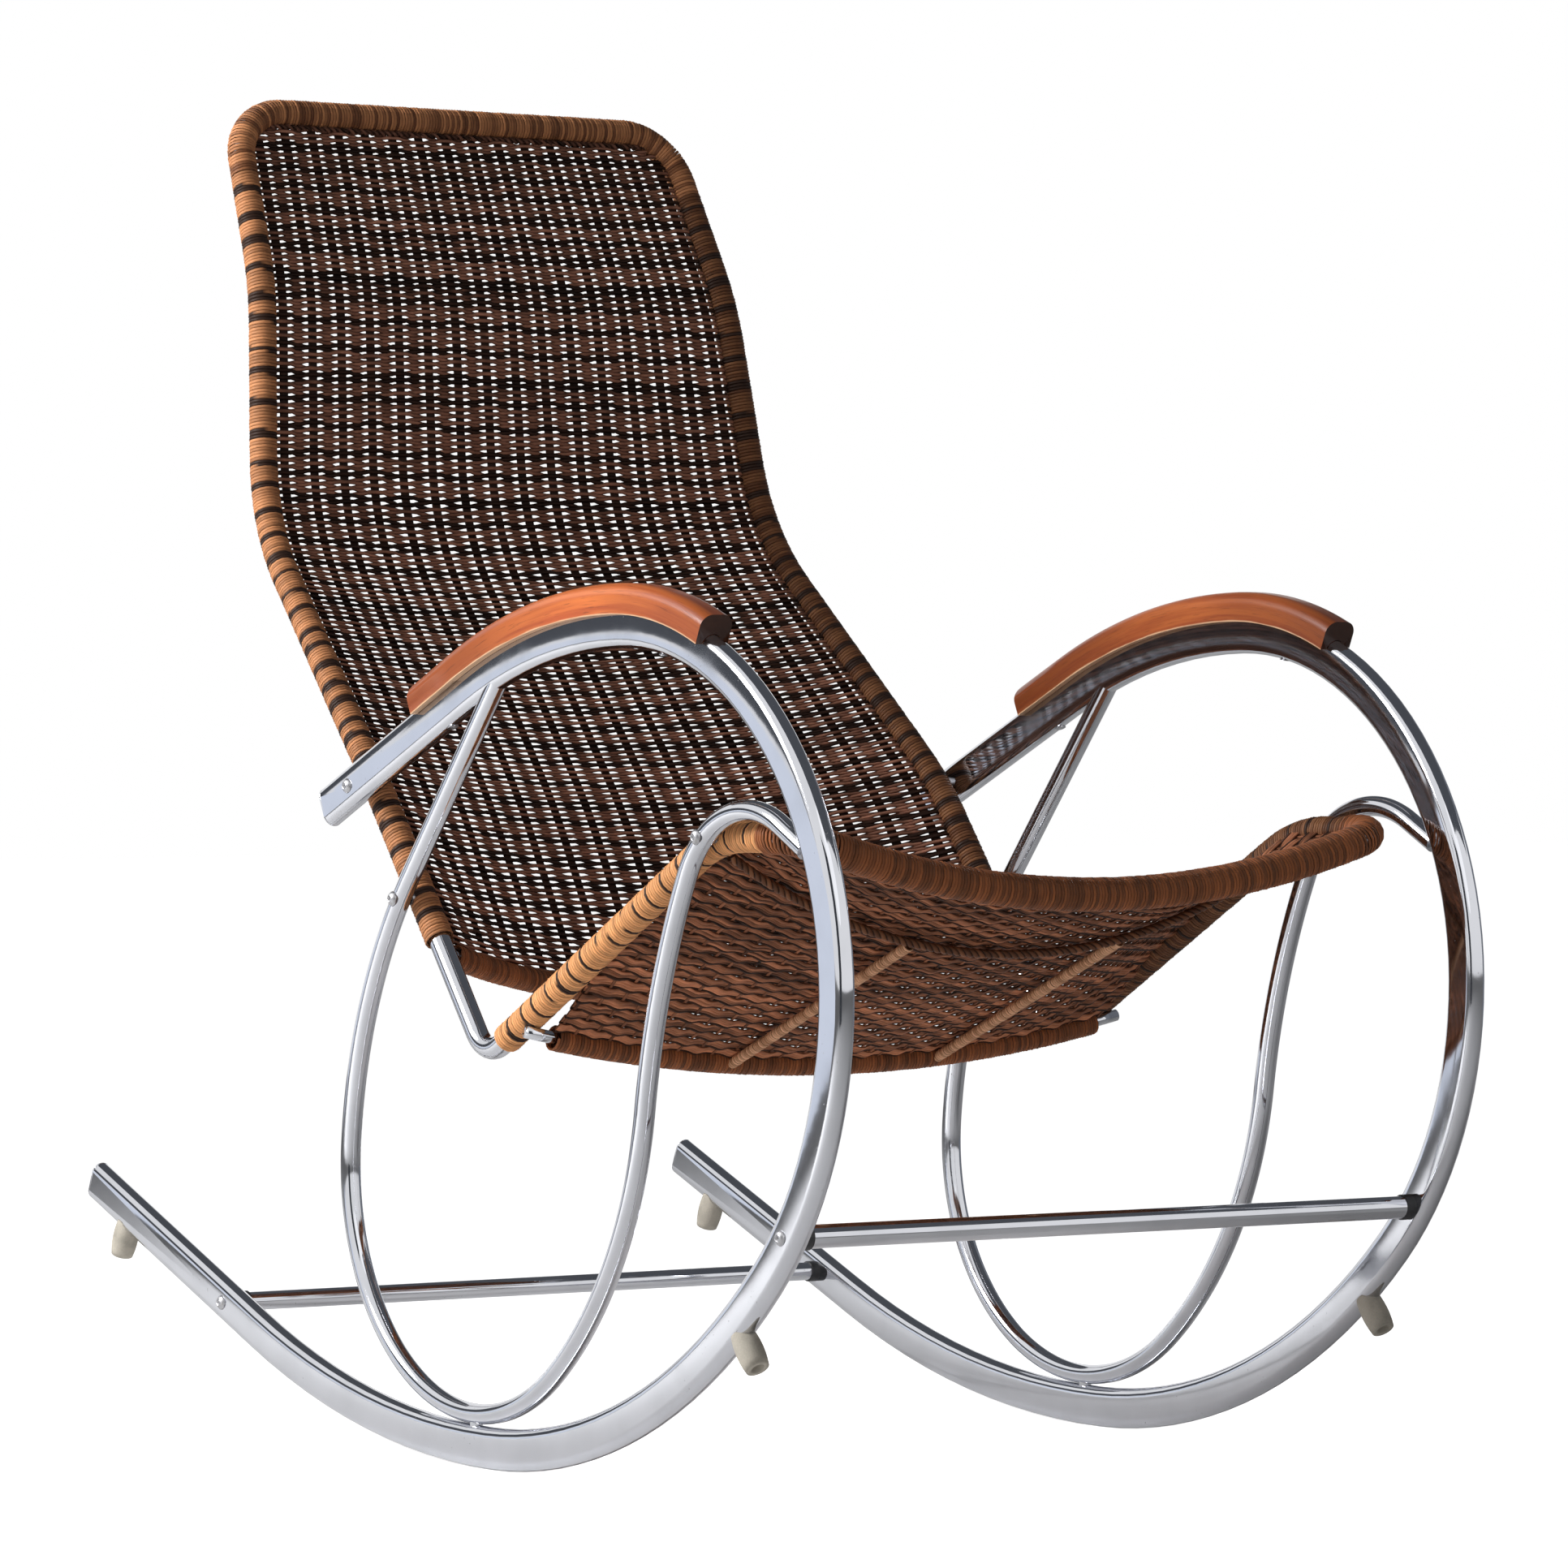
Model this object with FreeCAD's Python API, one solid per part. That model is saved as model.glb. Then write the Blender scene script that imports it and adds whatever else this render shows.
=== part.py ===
import FreeCAD, Part
import math
import os

os.makedirs("parts", exist_ok=True)
V = FreeCAD.Vector

# Frame: X across, the sitter faces -Y, Z up, floor at Z = 0, origin at the middle of the footprint.
# The left side (+X) is modelled and mirrored for the right side. All sizes are in millimetres.

# Hoop: flat-oval tube bent once into tail, runner, front and arm.
hoop_half_gap = 270.0
hoop_height = 30.0
hoop_width = 15.0
hoop_wall = 1.8
tail_length = 256.0
tail_angle = 22.7
runner_rear_radius = 820.0
runner_front_radius = 480.0
runner_front_angle = 44.5
front_low_radius = 266.0
front_high_radius = 246.0
arm_radius = 489.0
arm_angle = 23.9
arm_length = 202.0
cap_plate = 1.5
cap_plug = 4.0

# Inner loop: round tube, a strut under the arm, a long oval and a bend over to the hoop's front.
loop_diameter = 14.5
loop_wall = 1.5
loop_low_offset = 21.0
loop_low_radius = 167.0
loop_rear_turn = 95.2
strut_bend_radius = 350.0
strut_bend_turn = 34.8
strut_length = 185.0
loop_front_turn = 37.2
loop_rise_radius = 292.0
loop_rise_turn = 43.8
loop_ease_radius = 543.0
loop_ease_turn = 17.9
loop_hook_radius = 80.0
loop_hook_turn = 108.0
weld_diameter = 9.0

# Stretchers between the hoops, with collars and threaded plugs at their ends.
front_stretcher_diameter = 16.0
front_stretcher_turn = 8.3
rear_stretcher_diameter = 14.0
rear_stretcher_inset = 210.0
stretcher_wall = 1.5
collar_length = 7.0
collar_wall = 1.0
plug_length = 22.0

# Bolts, threaded inserts and small screws.
bolt_diameter = 6.0
bolt_head_diameter = 11.0
bolt_head_height = 3.4
bolt_socket_width = 4.0
bolt_socket_depth = 2.0
insert_diameter = 9.0
insert_depth = 11.0
screw_diameter = 4.0
screw_head_diameter = 8.0
screw_head_height = 2.4
arm_bolt_inset = 37.0
rail_bolt_turn = 3.0
seat_bolt_turn = 24.0

# Rubber bumpers under the tails and at the lower front of the hoops.
bumper_end_radius = 8.2
bumper_middle_radius = 9.7
bumper_length = 22.0
bumper_saddle = 6.0
bumper_recess_radius = 4.6
bumper_recess_depth = 7.0
front_bumper_turn = 38.9
rear_bumper_inset = 52.0

# Wooden armrest, grooved to straddle the arm of the hoop.
armrest_width = 26.0
armrest_rise = 14.5
armrest_skirt = 7.0
armrest_corner_radius = 9.0
armrest_end_radius = 12.0
armrest_front_turn = 24.0
armrest_rear_run = 58.0
armrest_screw_bite = 9.0

# Seat and back frame: one round tube in two mirrored halves, butted on the middle plane.
frame_diameter = 16.0
frame_wall = 1.0
back_foot_length = 140.0
back_foot_radius = 25.0
lower_back_length = 278.0
lower_back_angle = 44.4
lower_back_radius = 400.0
middle_back_length = 183.0
middle_back_angle = 81.4
middle_back_radius = 170.0
head_length = 151.0
head_angle = 65.5
head_radius = 220.0
top_half_width = 198.0
top_corner_radius = 46.0
seat_angle = 28.7
seat_bend_radius = 120.0
front_reach = 84.0
front_corner_radius = 28.0
front_bar_slope = 16.0

# Bowed rods that carry the weave, and the cane ribs under the seat.
rod_diameter = 9.0
lower_bar_height = 92.0
lower_bar_bow = 60.0
rear_bar_inset = 66.0
rear_bar_overhang = 9.0
rear_bar_bow = 28.0
rib_diameter = 7.0
rib_setback = 94.0
stringer_diameter = 8.0
stringer_half_gap = 90.0

# Rattan wraps, as sleeves, and the woven panels.
rail_wrap_diameter = 21.5
front_wrap_diameter = 24.0
lower_bar_wrap_diameter = 18.0
rear_bar_wrap_diameter = 19.0
back_wrap_start = 103.0
seat_wrap_start = 30.0
back_weave_thickness = 3.0
seat_weave_thickness = 4.5

# Openings of the back weave, a coarse grid for the fine gaps between its strands.
back_opening_columns = 10
back_opening_rows = 16
back_opening_width = 24.0
back_opening_height = 9.0
back_opening_margin = 43.0
back_opening_reach = 0.92

# Clearances.
seat_gap = 0.3
bolt_clearance = 0.2
press_clearance = 0.05


def heading(angle):
    """Unit vector in a side plane; 0 points to the rear and 90 points up."""
    return V(0, math.cos(math.radians(angle)), math.sin(math.radians(angle)))


def chain(start, angle, moves):
    """Path in a side plane from (radius, turn) bends and (0, length) runs; returns edges, end, angle."""
    edges = []
    point = start
    for radius, amount in moves:
        if radius == 0:
            end = point + heading(angle) * amount
            edges.append(Part.LineSegment(point, end).toShape())
        else:
            side = math.copysign(90, amount)
            centre = point + heading(angle + side) * radius
            middle = centre + heading(angle - side + amount / 2) * radius
            end = centre + heading(angle - side + amount) * radius
            edges.append(Part.Arc(point, middle, end).toShape())
            angle = angle + amount
        point = end
    return edges, point, angle


def bent_path(corners, radii):
    """Path through space: straight runs with a tangent bend of the given radius at each inner corner."""
    edges = []
    start = corners[0]
    for corner, before, after, radius in zip(corners[1:], corners, corners[2:], radii):
        back = (before - corner).normalize()
        ahead = (after - corner).normalize()
        half = back.getAngle(ahead) / 2
        run = radius / math.tan(half)
        inward = (back + ahead).normalize()
        first = corner + back * run
        middle = corner + inward * (radius / math.sin(half) - radius)
        last = corner + ahead * run
        edges.append(Part.LineSegment(start, first).toShape())
        edges.append(Part.Arc(first, middle, last).toShape())
        start = last
    edges.append(Part.LineSegment(start, corners[-1]).toShape())
    return edges


def sweep(edges, outline):
    """Solid made by drawing a closed outline along a path."""
    return Part.Wire(edges).makePipeShell([outline], True, False)


def round_bar(edges, diameter):
    """Solid round bar along a path."""
    start = edges[0].valueAt(edges[0].FirstParameter)
    direction = edges[0].tangentAt(edges[0].FirstParameter)
    return sweep(edges, Part.Wire([Part.Circle(start, direction, diameter / 2).toShape()]))


def round_tube(edges, outer, inner):
    """Round tube, open at both ends, along a path."""
    return round_bar(edges, outer).cut(round_bar(edges, inner))


def flat_oval(point, up, height, width):
    """Outline with straight sides and half-round edges; its long way lies along up."""
    side = V(width / 2, 0, 0)
    rise = up * (height / 2 - width / 2)
    crown = up * (height / 2)
    edges = [
        Part.LineSegment(point - side - rise, point - side + rise).toShape(),
        Part.Arc(point - side + rise, point + crown, point + side + rise).toShape(),
        Part.LineSegment(point + side + rise, point + side - rise).toShape(),
        Part.Arc(point + side - rise, point - crown, point - side - rise).toShape(),
    ]
    return Part.Wire(edges)


def rod(start, end, diameter):
    """Straight cylinder between two points."""
    axis = end - start
    return Part.makeCylinder(diameter / 2, axis.Length, start, axis)


def mirrored(shape):
    return shape.mirror(V(0, 0, 0), V(1, 0, 0))


def both(shapes):
    """The given left-hand solids and their mirror images, as one group of separate solids."""
    return Part.makeCompound(shapes + [mirrored(s) for s in shapes])


def save(name, shape):
    shape.exportStep("parts/" + name + ".step")


def save_pair(name, shape):
    save("left_" + name, shape)
    save("right_" + name, mirrored(shape))


def main_piece(shape):
    """The largest solid of a cut, without the offcuts beyond the wraps."""
    return max(shape.Solids, key=lambda solid: solid.Volume)


def at_middle(point):
    return V(0, point.y, point.z)


def across(point, x):
    return V(x, point.y, point.z)


# Hoop path, from the tail tip forward along the floor, up the front and back along the arm.
tail_turn = math.radians(tail_angle)
tail_reach = runner_rear_radius * math.sin(tail_turn) + tail_length * math.cos(tail_turn)
tail_rise = runner_rear_radius * (1 - math.cos(tail_turn)) + tail_length * math.sin(tail_turn)
tail_end = tail_reach + cap_plate * math.cos(tail_turn) + hoop_height / 2 * math.sin(tail_turn)
front_turn = math.radians(runner_front_angle)
front_end = runner_front_radius * math.sin(front_turn) + front_low_radius * (1 - math.sin(front_turn))
front_end = front_end + hoop_height / 2
contact_y = (front_end - tail_end) / 2

tail_tip = V(hoop_half_gap, contact_y + tail_reach, hoop_height / 2 + tail_rise)
tail_heading = 180 + tail_angle
hoop_moves = [
    (0, tail_length),
    (runner_rear_radius, -tail_angle),
    (runner_front_radius, -runner_front_angle),
    (front_low_radius, runner_front_angle - 90),
    (front_high_radius, -90),
    (arm_radius, -arm_angle),
    (0, arm_length),
]
hoop_edges, arm_tip, arm_heading = chain(tail_tip, tail_heading, hoop_moves)

# Inner loop path: lowest point just above the runner, strut top first.
loop_low_z = hoop_height + runner_rear_radius - math.sqrt(runner_rear_radius ** 2 - loop_low_offset ** 2)
loop_low = V(hoop_half_gap, contact_y + loop_low_offset, loop_low_z + loop_diameter / 2 + seat_gap)
strut_moves = [(loop_low_radius, loop_rear_turn), (strut_bend_radius, strut_bend_turn), (0, strut_length)]
strut_edges, strut_top, strut_heading = chain(loop_low, 0, strut_moves)
loop_moves = [
    (0, strut_length),
    (strut_bend_radius, -strut_bend_turn),
    (loop_low_radius, -loop_rear_turn - loop_front_turn),
    (loop_rise_radius, -loop_rise_turn),
    (loop_ease_radius, loop_ease_turn),
    (loop_hook_radius, loop_hook_turn),
]
loop_heading = strut_heading + 180
loop_edges, loop_tip, loop_end_heading = chain(strut_top, loop_heading, loop_moves)

# Bolt centres, each on the tube it passes through.
arm_bolt = arm_tip - heading(arm_heading) * arm_bolt_inset
rail_bolt = chain(strut_top, loop_heading, [(0, strut_length), (strut_bend_radius, -rail_bolt_turn)])[1]
seat_bolt = chain(strut_top, loop_heading, loop_moves[:5] + [(loop_hook_radius, seat_bolt_turn)])[1]
low_front = hoop_moves[:3] + [(front_low_radius, -front_stretcher_turn)]
front_stretcher_bolt = chain(tail_tip, tail_heading, low_front)[1]
rear_stretcher_bolt = tail_tip + heading(tail_heading) * rear_stretcher_inset

# Seat and back frame path, from the middle of the top bar to the middle of the front bar.
rail_half_gap = hoop_half_gap - hoop_width / 2 - seat_gap - rail_wrap_diameter / 2
back_length = lower_back_length + middle_back_length + head_length
taper = (rail_half_gap - top_half_width) / back_length
arm_point = across(arm_bolt, rail_half_gap)
back_rise = (across(arm_bolt, 0) - across(rail_bolt, 0)).normalize()
foot_point = across(rail_bolt, rail_half_gap) - back_rise * back_foot_length
knee_point = arm_point + heading(lower_back_angle) * lower_back_length - V(taper * lower_back_length, 0, 0)
neck_inset = V(taper * middle_back_length, 0, 0)
neck_point = knee_point + heading(middle_back_angle) * middle_back_length - neck_inset
top_point = neck_point + heading(head_angle) * head_length - V(taper * head_length, 0, 0)
seat_line = (seat_bolt.z - foot_point.z) / math.tan(math.radians(seat_angle))
seat_point = V(rail_half_gap, foot_point.y - seat_line, seat_bolt.z)
front_point = V(rail_half_gap, seat_bolt.y - front_reach, seat_bolt.z)
front_drop = rail_half_gap * math.tan(math.radians(front_bar_slope))
front_low_point = V(0, front_point.y, front_point.z - front_drop)
front_run = 0.95 * (rail_half_gap / math.cos(math.radians(front_bar_slope)) - front_corner_radius)
front_bar_radius = front_run / math.tan(math.radians(front_bar_slope))
front_sag = front_drop - front_bar_radius * (1 / math.cos(math.radians(front_bar_slope)) - 1)
front_middle = V(0, front_point.y, front_point.z - front_sag)

to_low = (front_low_point - front_point).normalize()
front_tangent = front_low_point - to_low * front_run
front_centre = front_middle + V(0, 0, front_bar_radius)
front_aim = (front_tangent + front_middle - front_centre * 2).normalize()
front_quarter = front_centre + front_aim * front_bar_radius
front_half_arc = Part.Arc(front_tangent, front_quarter, front_middle).toShape()

frame_corners = [
    at_middle(top_point),
    top_point,
    neck_point,
    knee_point,
    arm_point,
    foot_point,
    seat_point,
    front_point,
    front_tangent,
]
frame_radii = [
    top_corner_radius,
    head_radius,
    middle_back_radius,
    lower_back_radius,
    back_foot_radius,
    seat_bend_radius,
    front_corner_radius,
]
frame_edges = bent_path(frame_corners, frame_radii) + [front_half_arc]

# Bowed rods: the lower back bar between the rails, the rear seat bar welded under them.
lower_bar_end = foot_point + back_rise * lower_bar_height
back_out = V(0, back_rise.z, -back_rise.y)
lower_bar_middle = at_middle(lower_bar_end) + back_out * lower_bar_bow
lower_bar_far = across(lower_bar_end, -rail_half_gap)
lower_bar_edges = [Part.Arc(lower_bar_end, lower_bar_middle, lower_bar_far).toShape()]

seat_rise = (seat_point - foot_point).normalize()
seat_under = V(0, -seat_rise.z, seat_rise.y)
rear_bar_half = rail_half_gap + rear_bar_overhang
rear_bar_end = foot_point + seat_rise * rear_bar_inset + seat_under * (frame_diameter + rod_diameter) / 2
rear_bar_middle = at_middle(rear_bar_end) - V(0, 0, rear_bar_bow)
rear_bar_radius = (rear_bar_half ** 2 + rear_bar_bow ** 2) / (2 * rear_bar_bow)


def rear_bar_path(half):
    """Arc of the rear seat bar, cut short at the given half width."""
    rise = rear_bar_radius - math.sqrt(rear_bar_radius ** 2 - half ** 2)
    end = rear_bar_middle + V(half, 0, rise)
    return [Part.Arc(end, rear_bar_middle, V(-half, end.y, end.z)).toShape()]


def dish(middle, up, half_width, sag):
    """Radius, centre and half angle of a dished cross-section with its lowest point at middle."""
    radius = (half_width ** 2 + sag ** 2) / (2 * sag)
    return radius, middle + up * radius, math.asin(half_width / radius)


def on_dish(centre, up, radius, angle):
    return centre + V(math.sin(angle), 0, 0) * radius - up * (math.cos(angle) * radius)


def dish_outline(middle, up, half_width, sag, thickness):
    """Closed outline of a woven panel's cross-section."""
    radius, centre, spread = dish(middle, up, half_width, sag)
    outer = radius + thickness / 2
    inner = radius - thickness / 2
    a, b, c = [on_dish(centre, up, outer, spread * k) for k in (-1, 0, 1)]
    d, e, f = [on_dish(centre, up, inner, spread * k) for k in (1, 0, -1)]
    edges = [
        Part.Arc(a, b, c).toShape(),
        Part.LineSegment(c, d).toShape(),
        Part.Arc(d, e, f).toShape(),
        Part.LineSegment(f, a).toShape(),
    ]
    return Part.Wire(edges)


def seat_middle(y):
    """Lowest point of the seat weave at a given Y: straight from the rear bar to the front bar."""
    share = (rear_bar_middle.y - y) / (rear_bar_middle.y - front_middle.y)
    return rear_bar_middle + (front_middle - rear_bar_middle) * share


def seat_sag(y):
    """Drop of the seat weave below the side rails at a given Y."""
    line = foot_point.z + (foot_point.y - y) * math.tan(math.radians(seat_angle))
    return min(line, seat_point.z) - seat_middle(y).z


def along(edges, distance):
    """Point and direction at a distance along a path."""
    for edge in edges:
        if distance <= edge.Length or edge is edges[-1]:
            parameter = edge.getParameterByLength(min(distance, edge.Length))
            return edge.valueAt(parameter), edge.tangentAt(parameter)
        distance = distance - edge.Length


# Hoops, bolted and drilled for the stretchers, the frame, the bumpers and the armrests.
up = heading(tail_heading - 90)
hoop_outer = sweep(hoop_edges, flat_oval(tail_tip, up, hoop_height, hoop_width))
hoop_bore = flat_oval(tail_tip, up, hoop_height - 2 * hoop_wall, hoop_width - 2 * hoop_wall)
hoop_hollow = sweep(hoop_edges, hoop_bore)
hole_diameter = bolt_diameter + 2 * bolt_clearance
screw_hole = screw_diameter + 2 * press_clearance


def cross_hole(point, inside, outside, diameter):
    """Cylinder along X through a bolt centre, between two distances from the middle plane."""
    return rod(across(point, inside), across(point, outside), diameter)


hoop_inside = hoop_half_gap - hoop_width / 2
hoop_outside = hoop_half_gap + hoop_width / 2
loop_inside = hoop_half_gap - loop_diameter / 2
loop_outside = hoop_half_gap + loop_diameter / 2

front_bumper_moves = hoop_moves[:2] + [(runner_front_radius, -front_bumper_turn)]
front_bumper_at, front_bumper_heading = chain(tail_tip, tail_heading, front_bumper_moves)[1:]
front_bumper_out = heading(front_bumper_heading + 90)
rear_bumper_at = tail_tip + heading(tail_heading) * rear_bumper_inset
rear_bumper_out = heading(tail_heading + 90)
front_screw_moves = hoop_moves[:4] + [(front_high_radius, armrest_front_turn / 2 - 90)]
front_screw_at, front_screw_heading = chain(tail_tip, tail_heading, front_screw_moves)[1:]
rear_screw_moves = hoop_moves[:6] + [(0, armrest_rear_run / 2)]
rear_screw_at, rear_screw_heading = chain(tail_tip, tail_heading, rear_screw_moves)[1:]
arm_screws = [
    (front_screw_at, heading(front_screw_heading + 90)),
    (rear_screw_at, heading(rear_screw_heading + 90)),
]
bumpers = [(front_bumper_at, front_bumper_out), (rear_bumper_at, rear_bumper_out)]

hoop = hoop_outer.cut(hoop_hollow)
for centre in (arm_bolt, front_stretcher_bolt, rear_stretcher_bolt):
    hoop = hoop.cut(cross_hole(centre, hoop_inside - 1, hoop_outside + 1, hole_diameter))
for point, out in arm_screws:
    hoop = hoop.cut(rod(point - out * hoop_height, point + out * hoop_height, screw_hole))
for point, out in bumpers:
    hoop = hoop.cut(rod(point, point + out * hoop_height, screw_hole))
save_pair("hoop", hoop)

# Caps that close the tail and the arm end.
inner_height = hoop_height - 2 * hoop_wall - 2 * press_clearance
inner_width = hoop_width - 2 * hoop_wall - 2 * press_clearance


def end_cap(tip, out_angle):
    out = heading(out_angle)
    side_up = heading(out_angle + 90)
    plate = Part.Face(flat_oval(tip, side_up, hoop_height, hoop_width)).extrude(out * cap_plate)
    plug = Part.Face(flat_oval(tip, side_up, inner_height, inner_width)).extrude(out * -cap_plug)
    return plate.fuse(plug)


save("tail_caps", both([end_cap(tail_tip, tail_heading - 180)]))
save("arm_caps", both([end_cap(arm_tip, arm_heading)]))

# Inner loops, both ends coped against the hoop, with a weld bead at the lowest point.
loop_outer = round_bar(loop_edges, loop_diameter)
loop_hollow = round_bar(loop_edges, loop_diameter - 2 * loop_wall)
loop = loop_outer.cut(loop_hollow).cut(hoop_outer)
for centre in (rail_bolt, seat_bolt):
    loop = loop.cut(cross_hole(centre, loop_inside - 1, loop_outside + 1, hole_diameter))
save_pair("inner_loop", loop)
bead = rod(loop_low - V(0, 0, hoop_height / 2), loop_low, weld_diameter).cut(hoop_outer).cut(loop_outer)
save("loop_welds", both([bead]))


# Stretchers, their collars and the threaded plugs in their ends.
def stretcher(centre, diameter):
    start = across(centre, -hoop_inside)
    end = across(centre, hoop_inside)
    return rod(start, end, diameter).cut(rod(start, end, diameter - 2 * stretcher_wall))


def collar(centre, diameter):
    start = across(centre, hoop_inside - collar_length)
    end = across(centre, hoop_inside)
    bore = diameter + 2 * press_clearance
    return rod(start, end, diameter + 2 * collar_wall).cut(rod(start, end, bore))


def plug(centre, diameter):
    start = across(centre, hoop_inside - plug_length)
    end = across(centre, hoop_inside)
    body = rod(start, end, diameter - 2 * stretcher_wall - 2 * press_clearance)
    return body.cut(rod(start, end, bolt_diameter + 2 * press_clearance))


stretchers = [
    (front_stretcher_bolt, front_stretcher_diameter),
    (rear_stretcher_bolt, rear_stretcher_diameter),
]
save("front_stretcher", stretcher(*stretchers[0]))
save("rear_stretcher", stretcher(*stretchers[1]))
save("stretcher_collars", both([collar(*s) for s in stretchers]))
save("stretcher_plugs", both([plug(*s) for s in stretchers]))


# Button-head bolts with a hexagon socket.
def bolt(centre, tip, seat):
    """Bolt along X with its point at tip and the underside of its head at seat."""
    dome = (bolt_head_diameter ** 2 / 4 + bolt_head_height ** 2) / (2 * bolt_head_height)
    crown = seat + bolt_head_height
    head = rod(across(centre, seat), across(centre, crown), bolt_head_diameter)
    head = head.common(Part.makeSphere(dome, across(centre, crown - dome)))
    shank = rod(across(centre, tip), across(centre, seat), bolt_diameter)
    reach = bolt_socket_width / math.sqrt(3)
    corners = [across(centre, crown) + heading(60 * k) * reach for k in range(7)]
    socket = Part.Face(Part.makePolygon(corners)).extrude(V(-bolt_socket_depth, 0, 0))
    return head.fuse(shank).removeSplitter().cut(socket)


frame_tip = rail_half_gap - 2
plug_tip = hoop_inside - plug_length + 4
save("arm_bolts", both([bolt(arm_bolt, frame_tip, hoop_outside)]))
save("back_rail_bolts", both([bolt(rail_bolt, frame_tip, loop_outside)]))
save("seat_bolts", both([bolt(seat_bolt, frame_tip, loop_outside)]))
save("front_stretcher_bolts", both([bolt(front_stretcher_bolt, plug_tip, hoop_outside)]))
save("rear_stretcher_bolts", both([bolt(rear_stretcher_bolt, plug_tip, hoop_outside)]))


# Threaded inserts that stand proud of the frame tube, so that the bolts clamp metal and not rattan.
def insert(centre, outside):
    inside = rail_half_gap + frame_diameter / 2 - insert_depth
    bore = bolt_diameter + 2 * press_clearance
    body = cross_hole(centre, inside, outside, insert_diameter)
    return body.cut(cross_hole(centre, inside, outside, bore))


inserts = [insert(arm_bolt, hoop_inside), insert(rail_bolt, loop_inside), insert(seat_bolt, loop_inside)]
save("frame_inserts", both(inserts))


# Rubber bumpers, saddled on the hoop's outer edge, each with a screw up into the tube.
def bumper(point, out):
    base = point + out * (hoop_height / 2 - bumper_saddle)
    length = bumper_length + bumper_saddle
    floor = length - bumper_recess_depth
    hole = screw_diameter / 2 + press_clearance
    side = V(1, 0, 0)
    wide = base + side * bumper_end_radius
    belly = base + side * bumper_middle_radius + out * (length / 2)
    edges = [Part.Arc(wide, belly, wide + out * length).toShape()]
    corners = [
        wide + out * length,
        base + side * bumper_recess_radius + out * length,
        base + side * bumper_recess_radius + out * floor,
        base + side * hole + out * floor,
        base + side * hole,
        wide,
    ]
    for start, end in zip(corners, corners[1:]):
        edges.append(Part.LineSegment(start, end).toShape())
    return Part.Face(Part.Wire(edges)).revolve(base, out, 360).cut(hoop_outer)


def screw(seat, inward, length):
    """Pan-head screw whose head stands out from seat and whose shank runs inward."""
    head = rod(seat - inward * screw_head_height, seat, screw_head_diameter)
    return head.fuse(rod(seat, seat + inward * length, screw_diameter)).removeSplitter()


def bumper_screw(point, out):
    seat = point + out * (hoop_height / 2 + bumper_length - bumper_recess_depth)
    return screw(seat, out * -1, bumper_length - bumper_recess_depth + 5)


save("front_bumpers", both([bumper(front_bumper_at, front_bumper_out)]))
save("rear_bumpers", both([bumper(rear_bumper_at, rear_bumper_out)]))
save("bumper_screws", both([bumper_screw(*b) for b in bumpers]))

# Armrests: a rounded section drawn along the arm, grooved for the tube, with a rounded rear end.
armrest_moves = [(front_high_radius, -armrest_front_turn), (arm_radius, -arm_angle), (0, armrest_rear_run)]
armrest_lead = hoop_moves[:4] + [(front_high_radius, armrest_front_turn - 90)]
armrest_at, armrest_angle = chain(tail_tip, tail_heading, armrest_lead)[1:]
armrest_edges, armrest_end, armrest_end_angle = chain(armrest_at, armrest_angle, armrest_moves)
out = heading(armrest_angle + 90)
skirt = hoop_height / 2 - armrest_skirt
crest = hoop_height / 2 + armrest_rise
half = armrest_width / 2
corner = armrest_corner_radius
bevel = corner * (1 - math.sqrt(0.5))


def armrest_point(x, rise):
    return armrest_at + V(x, 0, 0) + out * rise


armrest_outline = Part.Wire([
    Part.LineSegment(armrest_point(-half, skirt), armrest_point(-half, crest - corner)).toShape(),
    Part.Arc(
        armrest_point(-half, crest - corner),
        armrest_point(bevel - half, crest - bevel),
        armrest_point(corner - half, crest),
    ).toShape(),
    Part.LineSegment(armrest_point(corner - half, crest), armrest_point(half - corner, crest)).toShape(),
    Part.Arc(
        armrest_point(half - corner, crest),
        armrest_point(half - bevel, crest - bevel),
        armrest_point(half, crest - corner),
    ).toShape(),
    Part.LineSegment(armrest_point(half, crest - corner), armrest_point(half, skirt)).toShape(),
    Part.LineSegment(armrest_point(half, skirt), armrest_point(-half, skirt)).toShape(),
])
groove = flat_oval(armrest_at, out, hoop_height + 2 * seat_gap, hoop_width + 2 * seat_gap)
armrest = sweep(armrest_edges, armrest_outline).cut(sweep(armrest_edges, groove))

end_out = heading(armrest_end_angle + 90)
end_along = heading(armrest_end_angle)
end_corner = armrest_end + end_out * crest - V(armrest_width, 0, 0)
end_above = end_corner - end_along * armrest_end_radius
end_behind = end_corner - end_out * armrest_end_radius
end_round = end_corner - (end_along + end_out) * (armrest_end_radius * (1 - math.sqrt(0.5)))
end_waste = Part.Wire([
    Part.LineSegment(end_above, end_corner).toShape(),
    Part.LineSegment(end_corner, end_behind).toShape(),
    Part.Arc(end_behind, end_round, end_above).toShape(),
])
armrest = armrest.cut(Part.Face(end_waste).extrude(V(2 * armrest_width, 0, 0)))
for point, away in arm_screws:
    reach = hoop_height / 2 + armrest_screw_bite
    armrest = armrest.cut(rod(point, point + away * reach, screw_hole))
save_pair("armrest", armrest)


def arm_screw(point, away):
    return screw(point - away * (hoop_height / 2), away, hoop_height + armrest_screw_bite - 1)


save("armrest_screws", both([arm_screw(*s) for s in arm_screws]))

# Seat and back frame.
frame_outer = round_bar(frame_edges, frame_diameter)
frame = frame_outer.cut(round_bar(frame_edges, frame_diameter - 2 * frame_wall))
for centre in (arm_bolt, rail_bolt, seat_bolt):
    frame = frame.cut(cross_hole(centre, rail_half_gap, hoop_inside, insert_diameter + 2 * press_clearance))
save_pair("frame_tube", frame)

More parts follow.
